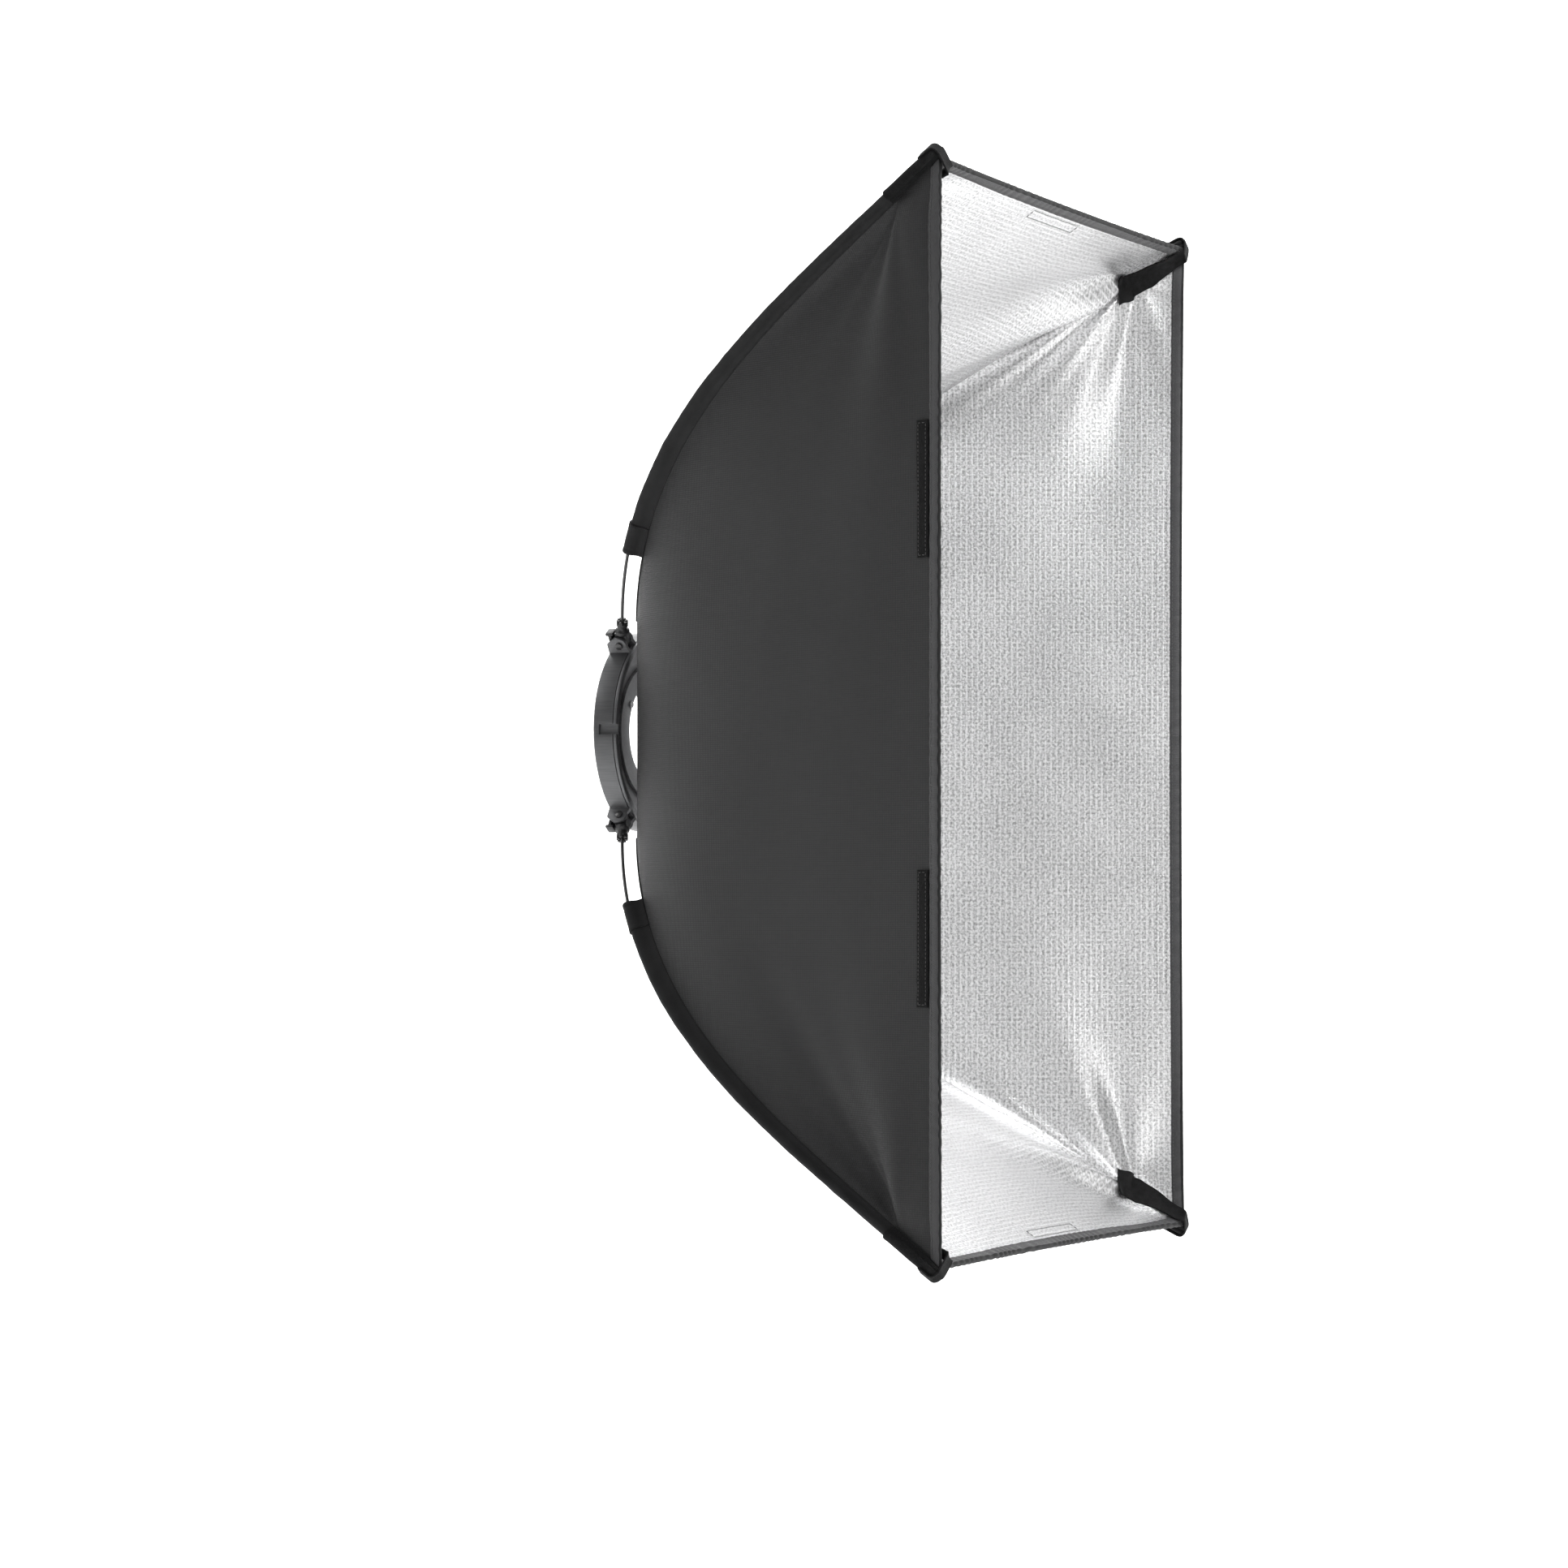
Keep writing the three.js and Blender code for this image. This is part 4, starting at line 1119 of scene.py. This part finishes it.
class SOFTBOX_OT_strips(bpy.types.Operator):
    """Hook-and-loop strips sewn near the front edges"""

    bl_idname = "softbox.strips"
    bl_label = "Strips"

    def execute(self, context):
        for node in sorted(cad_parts):
            if node.startswith("strip_"):
                side = sides()[node.split("_")[1]]
                self.strip(context, side, node)
        return {"FINISHED"}

    def strip(self, context, side, node):
        points = node_points(node)
        along = points @ side.across
        depth = points @ FRONT
        steps = np.linspace(0, side.length, 600)
        run = np.interp(depth, side.depth_of(steps), steps)
        edges = np.linspace(along.min(), along.max(), 60)
        widths = np.linspace(run.min() + 0.0003, run.max() - 0.0003, 14)
        seed = len(node) + int(points[0, 0] * 1000)
        x, r = np.meshgrid(edges, widths, indexing="ij")
        half = side.half_width(r)
        inset = np.minimum.reduce([
            x - edges[0], edges[-1] - x, r - widths[0], widths[-1] - r])
        crown = 0.0019 - 0.0006 * np.exp(-inset / 0.0009)
        sewn = 0.00035 * np.exp(-(((inset - 0.0022) / 0.0007) ** 2))
        nap = 0.00016 * wander_2d(x, r, seed, 900.0)
        wave = 0.00025 * wander(x, seed, 60.0)
        upper = side.place(r, x / half, crown - sewn + nap + wave)
        lower = side.place(r, x / half, 0.00055 + 0 * x)
        rings = np.concatenate([upper, lower[:, ::-1]], axis=1)
        obj = lofted(node.replace("strip", "hook_tape"), rings)
        settle(obj, "napped_tape", 60.0, node)
        stitches, sewn_lifts = self.stitches(context, side, obj.name, edges, widths)
        middle = float(np.mean(edges))
        lifts = np.tile(np.repeat((0.0019, 0.00055), len(widths)), len(edges))
        for piece, heights in ((obj, lifts), (stitches, sewn_lifts)):
            if abs(middle) < 0.02:
                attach(piece, RING_BODY)
            else:
                end = 1 if middle > 0 else -1
                follow(piece, side, end, share_of(side, piece), heights)

    def stitches(self, context, side, name, edges, widths):
        lining = -context.scene.softbox_cloth.thickness - 0.0001
        pitch = context.scene.softbox_trim.stitch_pitch
        in_x = (edges[0] + 0.0022, edges[-1] - 0.0022)
        in_r = (widths[0] + 0.0022, widths[-1] - 0.0022)
        long = np.linspace(*in_x, int((in_x[1] - in_x[0]) / pitch))
        short = np.linspace(*in_r, int((in_r[1] - in_r[0]) / pitch) + 1)
        rows = []
        for lift in (0.00165, lining):
            for r in in_r:
                rows.append((np.full(len(long), r), long / side.half_width(r), lift))
            for x in in_x:
                rows.append((short, x / side.half_width(short), lift))
        return side_stitches("stitches_" + name, side, rows)


# Radius over the rod, and half the thickness at the seam.
SLEEVE = (0.0034, 0.0011)
CUFF = (0.0047, 0.0019)
POCKET = (0.0050, 0.0032)
POCKET_LENGTH = 0.060  # along the rib, behind its tip


def sleeve_outline(radius, skirt, fin):
    """Section of a sewn sleeve: round over the rod, then two layers together to the seam."""
    points = []
    for i in range(9):
        angle = math.pi + math.pi * i / 8
        points.append((radius * math.cos(angle), radius * math.sin(angle)))
    right = [
        (radius * 0.985, skirt * 0.12), (radius * 0.86, skirt * 0.30),
        (radius * 0.62, skirt * 0.46),
        (max(fin, radius * 0.42), skirt * 0.62), (fin, skirt * 0.80), (fin, skirt),
    ]
    return points + right + [(-x, y) for x, y in reversed(right)]


def half_way_round(outline):
    """Half the length of a closed outline, which is the width of one of its two layers."""
    outline = np.asarray(outline, float)
    steps = np.roll(outline, -1, axis=0) - outline
    return float(np.linalg.norm(steps, axis=1).sum() / 2)


def layer_width(rib, start, stop, radius, fin):
    """Mean width of one layer of a sleeve between the rod's outer side and the seam."""
    found = [
        half_way_round(sleeve_outline(radius, rib.to_seam(run), fin))
        for run in np.linspace(start, min(stop, rib.length), 20)
    ]
    return float(np.mean(found))


class SOFTBOX_OT_sleeves(bpy.types.Operator):
    """Sewn sleeves along the ribs, their cuffs, and the piping in the seams"""

    bl_idname = "softbox.sleeves"
    bl_label = "Sleeves"

    def execute(self, context):
        for corner, rib in ribs().items():
            self.sleeve(rib, corner)
            self.cuff(rib, corner)
            self.piping(rib, corner)
        return {"FINISHED"}

    def sleeve(self, rib, corner):
        node = "sleeve_" + corner
        start, stop = rib.run_of(node, 0) - 0.006, rib.run_of(node, 1) + 0.004
        seed = CORNERS.index(corner)
        rings = []
        for run in np.linspace(start, stop, 150):
            skirt = rib.to_seam(run) - 0.0006
            ruck = float(wander(run, seed, 42.0)), float(wander(run, seed + 9, 120.0))
            radius = SLEEVE[0] * (1 + 0.07 * ruck[0] + 0.035 * ruck[1])
            outline = np.array(sleeve_outline(radius, skirt, SLEEVE[1]))
            bend = np.clip(outline[:, 1] / skirt, 0, 1)
            outline[:, 0] += 0.0007 * ruck[0] * np.sin(math.pi * bend)
            rings.append(rib.section(run, outline))
        obj = lofted("sewn_" + node, rings)
        settle(obj, "sleeve_cloth", 60.0, node, "rib_" + corner)
        cut = (layer_width(rib, start, stop, *SLEEVE), float(stop - start))

    def cuff(self, rib, corner):
        node = "sleeve_cuff_" + corner
        start, stop = rib.run_of(node, 0), rib.run_of(node, 1) + 0.003
        rings = []
        for share in np.linspace(0, 1, 26):
            run = start + share * (stop - start)
            skirt = rib.to_seam(run) - 0.0002
            flare = 1 + 0.10 * (1 - share) ** 2
            hem = 1 + 0.05 * math.exp(-(((share - 0.06) / 0.05) ** 2))
            hem -= 0.05 * math.exp(-(((share - 0.16) / 0.03) ** 2))
            hem += 0.05 * math.exp(-(((share - 0.94) / 0.05) ** 2))
            outline = sleeve_outline(CUFF[0] * flare * hem, skirt, CUFF[1])
            rings.append(rib.section(run, outline))
        # The open rear end turns in round the rod.
        turned_in = 0.009
        for depth, radius in ((0.0, 0.62), (0.004, 0.58), (turned_in, 0.55)):
            run = start + depth
            skirt = rib.to_seam(run) - 0.0022
            rings.insert(0, rib.section(run, sleeve_outline(CUFF[0] * radius, skirt, 0.0009)))
        obj = lofted("cuff_" + corner, rings)
        settle(obj, "cuff_cloth", 50.0, node, "rib_" + corner)
        length = float(stop - start) + turned_in
        cut = (layer_width(rib, start, stop, *CUFF), length)

    def piping(self, rib, corner):
        side = sides()["top" if "upper" in corner else "bottom"]
        end = 1 if "right" in corner else -1
        run = np.linspace(0.016, side.length * 0.985, 150)
        seam = side.seam(run, end)
        centre = np.stack([seam @ rib.out, seam @ FRONT], -1)
        line = rib.world(centre, np.zeros(len(run)))
        obj = line_piece("piping_" + corner, line, 0.0011, "piping_cloth", 2)
        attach(obj, "rib_" + corner)


class SOFTBOX_OT_pockets(bpy.types.Operator):
    """Corner pockets over the rod ends, with the strap folded into the corner"""

    bl_idname = "softbox.pockets"
    bl_label = "Corner pockets"

    def execute(self, context):
        for corner, rib in ribs().items():
            sheath, sheath_cut = self.sheath(rib, corner)
            strap, strap_cut, strap_area = self.strap(rib, corner)
            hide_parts("corner_pocket_" + corner)
            for obj in (sheath, strap):
                settle(obj, "napped_tape", 60.0, body="rib_" + corner)
        return {"FINISHED"}

    def sheath(self, rib, corner):
        start, stop = rib.length - POCKET_LENGTH, rib.length + 0.0048
        rings = []
        for share in np.linspace(0, 1, 44):
            run = start + share * (stop - start)
            beyond = max(0.0, run - rib.length)
            round_off = math.sqrt(max(0.0, 1 - (beyond / 0.0062) ** 2))
            hem = 1 + 0.06 * math.exp(-(((share - 0.02) / 0.03) ** 2))
            skirt = (rib.to_seam(min(run, rib.length)) - 0.0004) * (0.86 + 0.14 * round_off)
            taper = 1 - 0.16 * np.clip((run - rib.length + 0.026) / 0.024, 0, 1)
            radius = POCKET[0] * taper * hem * round_off
            rings.append(rib.section(run, sleeve_outline(radius, skirt, POCKET[1] * round_off)))
        cut = (layer_width(rib, start, rib.length, *POCKET), float(stop - start))
        return lofted("pocket_" + corner, rings), cut

    def strap(self, rib, corner):
        upright = "top" if "upper" in corner else "bottom"
        flat = "right" if "right" in corner else "left"
        ends = (1 if flat == "right" else -1, 1 if upright == "top" else -1)
        pair = (sides()[upright], sides()[flat])
        reach = 0.0165
        inside = -0.0046
        rows = []

        def chord(back, spread=reach, forward=0.0):
            made = []
            spread *= 0.80 + 0.20 * min(1.0, back / 0.026)
            for side, end in zip(pair, ends):
                run = side.length - back
                share = end * (1 - spread / side.half_width(run))
                made.append(side.place(run, share, inside) + FRONT * forward)
            bulge = rib.world(-rib.frame_at(rib.length)[2], 0.0) * 0.0012
            steps = np.linspace(0, 1, 13)[:, None]
            return made[0] * (1 - steps) + made[1] * steps + bulge * 4 * steps * (1 - steps)

        for back in np.linspace(POCKET_LENGTH, 0.004, 15):
            rows.append(chord(back))
        rows.append(chord(0.0, forward=0.0022))
        rows.append(chord(0.0, spread=0.0138, forward=0.0040))
        tip, ahead, inward = rib.frame_at(rib.length)
        direction = np.sign(float((pair[1].out - pair[0].out) @ rib.sideways))
        for along, into, half in (
            (0.0052, 0.0054, 0.0060), (0.0056, 0.0016, 0.0050), (0.0050, -0.0022, 0.0046),
            (0.0022, -0.0046, 0.0044), (-0.0040, -0.0050, 0.0044), (-0.0120, -0.0053, 0.0044),
        ):
            centre = tip + along * ahead + into * inward
            across = direction * np.linspace(-half, half, 13)
            rows.append(rib.world(np.tile(centre, (13, 1)), across))
        rows = self.rounded(np.array(rows))
        # The strap tapers: its cut is as wide as its widest row and as long as its middle.
        widths = np.linalg.norm(np.diff(rows, axis=1), axis=2).sum(axis=1)
        steps = np.linalg.norm(np.diff(rows[:, 6], axis=0), axis=1)
        cut = (float(widths.max()), float(steps.sum()))
        area = float(np.sum((widths[1:] + widths[:-1]) / 2 * steps))
        obj = mesh_piece("strap_" + corner, rows.reshape(-1, 3), grid_faces(len(rows), 13))
        wall = obj.modifiers.new("wall", "SOLIDIFY")
        wall.thickness = 0.0014
        wall.offset = 0.0
        wall.use_even_offset = True
        apply_modifiers(obj)
        face_out(obj)
        return obj, cut, area

    def rounded(self, rows):
        """More rows between the given ones, on a smooth curve through them."""
        made = []
        for i in range(len(rows) - 1):
            a, b = rows[max(0, i - 1)], rows[i]
            c, d = rows[i + 1], rows[min(len(rows) - 1, i + 2)]
            for t in (0.0, 0.25, 0.5, 0.75):
                made.append(
                    0.5 * (2 * b + (c - a) * t + (2 * a - 5 * b + 4 * c - d) * t**2
                           + (3 * b - a - 3 * c + d) * t**3)
                )
        made.append(rows[-1])
        return np.array(made)


# ---------------------------------------------------------------------------
# Panel and registration


OPERATORS = (
    SOFTBOX_OT_stage,
    SOFTBOX_OT_light_mount,
    SOFTBOX_OT_speed_ring,
    SOFTBOX_OT_knuckles,
    SOFTBOX_OT_rib_rods,
    SOFTBOX_OT_shell,
    SOFTBOX_OT_bindings,
    SOFTBOX_OT_strips,
    SOFTBOX_OT_sleeves,
    SOFTBOX_OT_pockets,
)


class SOFTBOX_PT_panel(bpy.types.Panel):
    """Lists the softbox's operators"""

    bl_idname = "SOFTBOX_PT_panel"
    bl_label = "Softbox"
    bl_space_type = "VIEW_3D"
    bl_region_type = "UI"
    bl_category = "Softbox"

    def draw(self, context):
        for operator in OPERATORS:
            self.layout.operator(operator.bl_idname)


SETTINGS = {
    "softbox_cloth": SoftboxClothSettings,
    "softbox_trim": SoftboxTrimSettings,
    "softbox_hardware": SoftboxHardwareSettings,
    "softbox_stage": SoftboxStageSettings,
}
CLASSES = (*SETTINGS.values(), *OPERATORS, SOFTBOX_PT_panel)


def register():
    for cls in CLASSES:
        bpy.utils.register_class(cls)
    for name, cls in SETTINGS.items():
        setattr(bpy.types.Scene, name, bpy.props.PointerProperty(type=cls))


def unregister():
    for name in SETTINGS:
        delattr(bpy.types.Scene, name)
    for cls in reversed(CLASSES):
        bpy.utils.unregister_class(cls)


def main():
    register()
    for operator in OPERATORS:
        getattr(bpy.ops.softbox, operator.bl_idname.split(".")[1])()


if __name__ == "__main__":
    main()
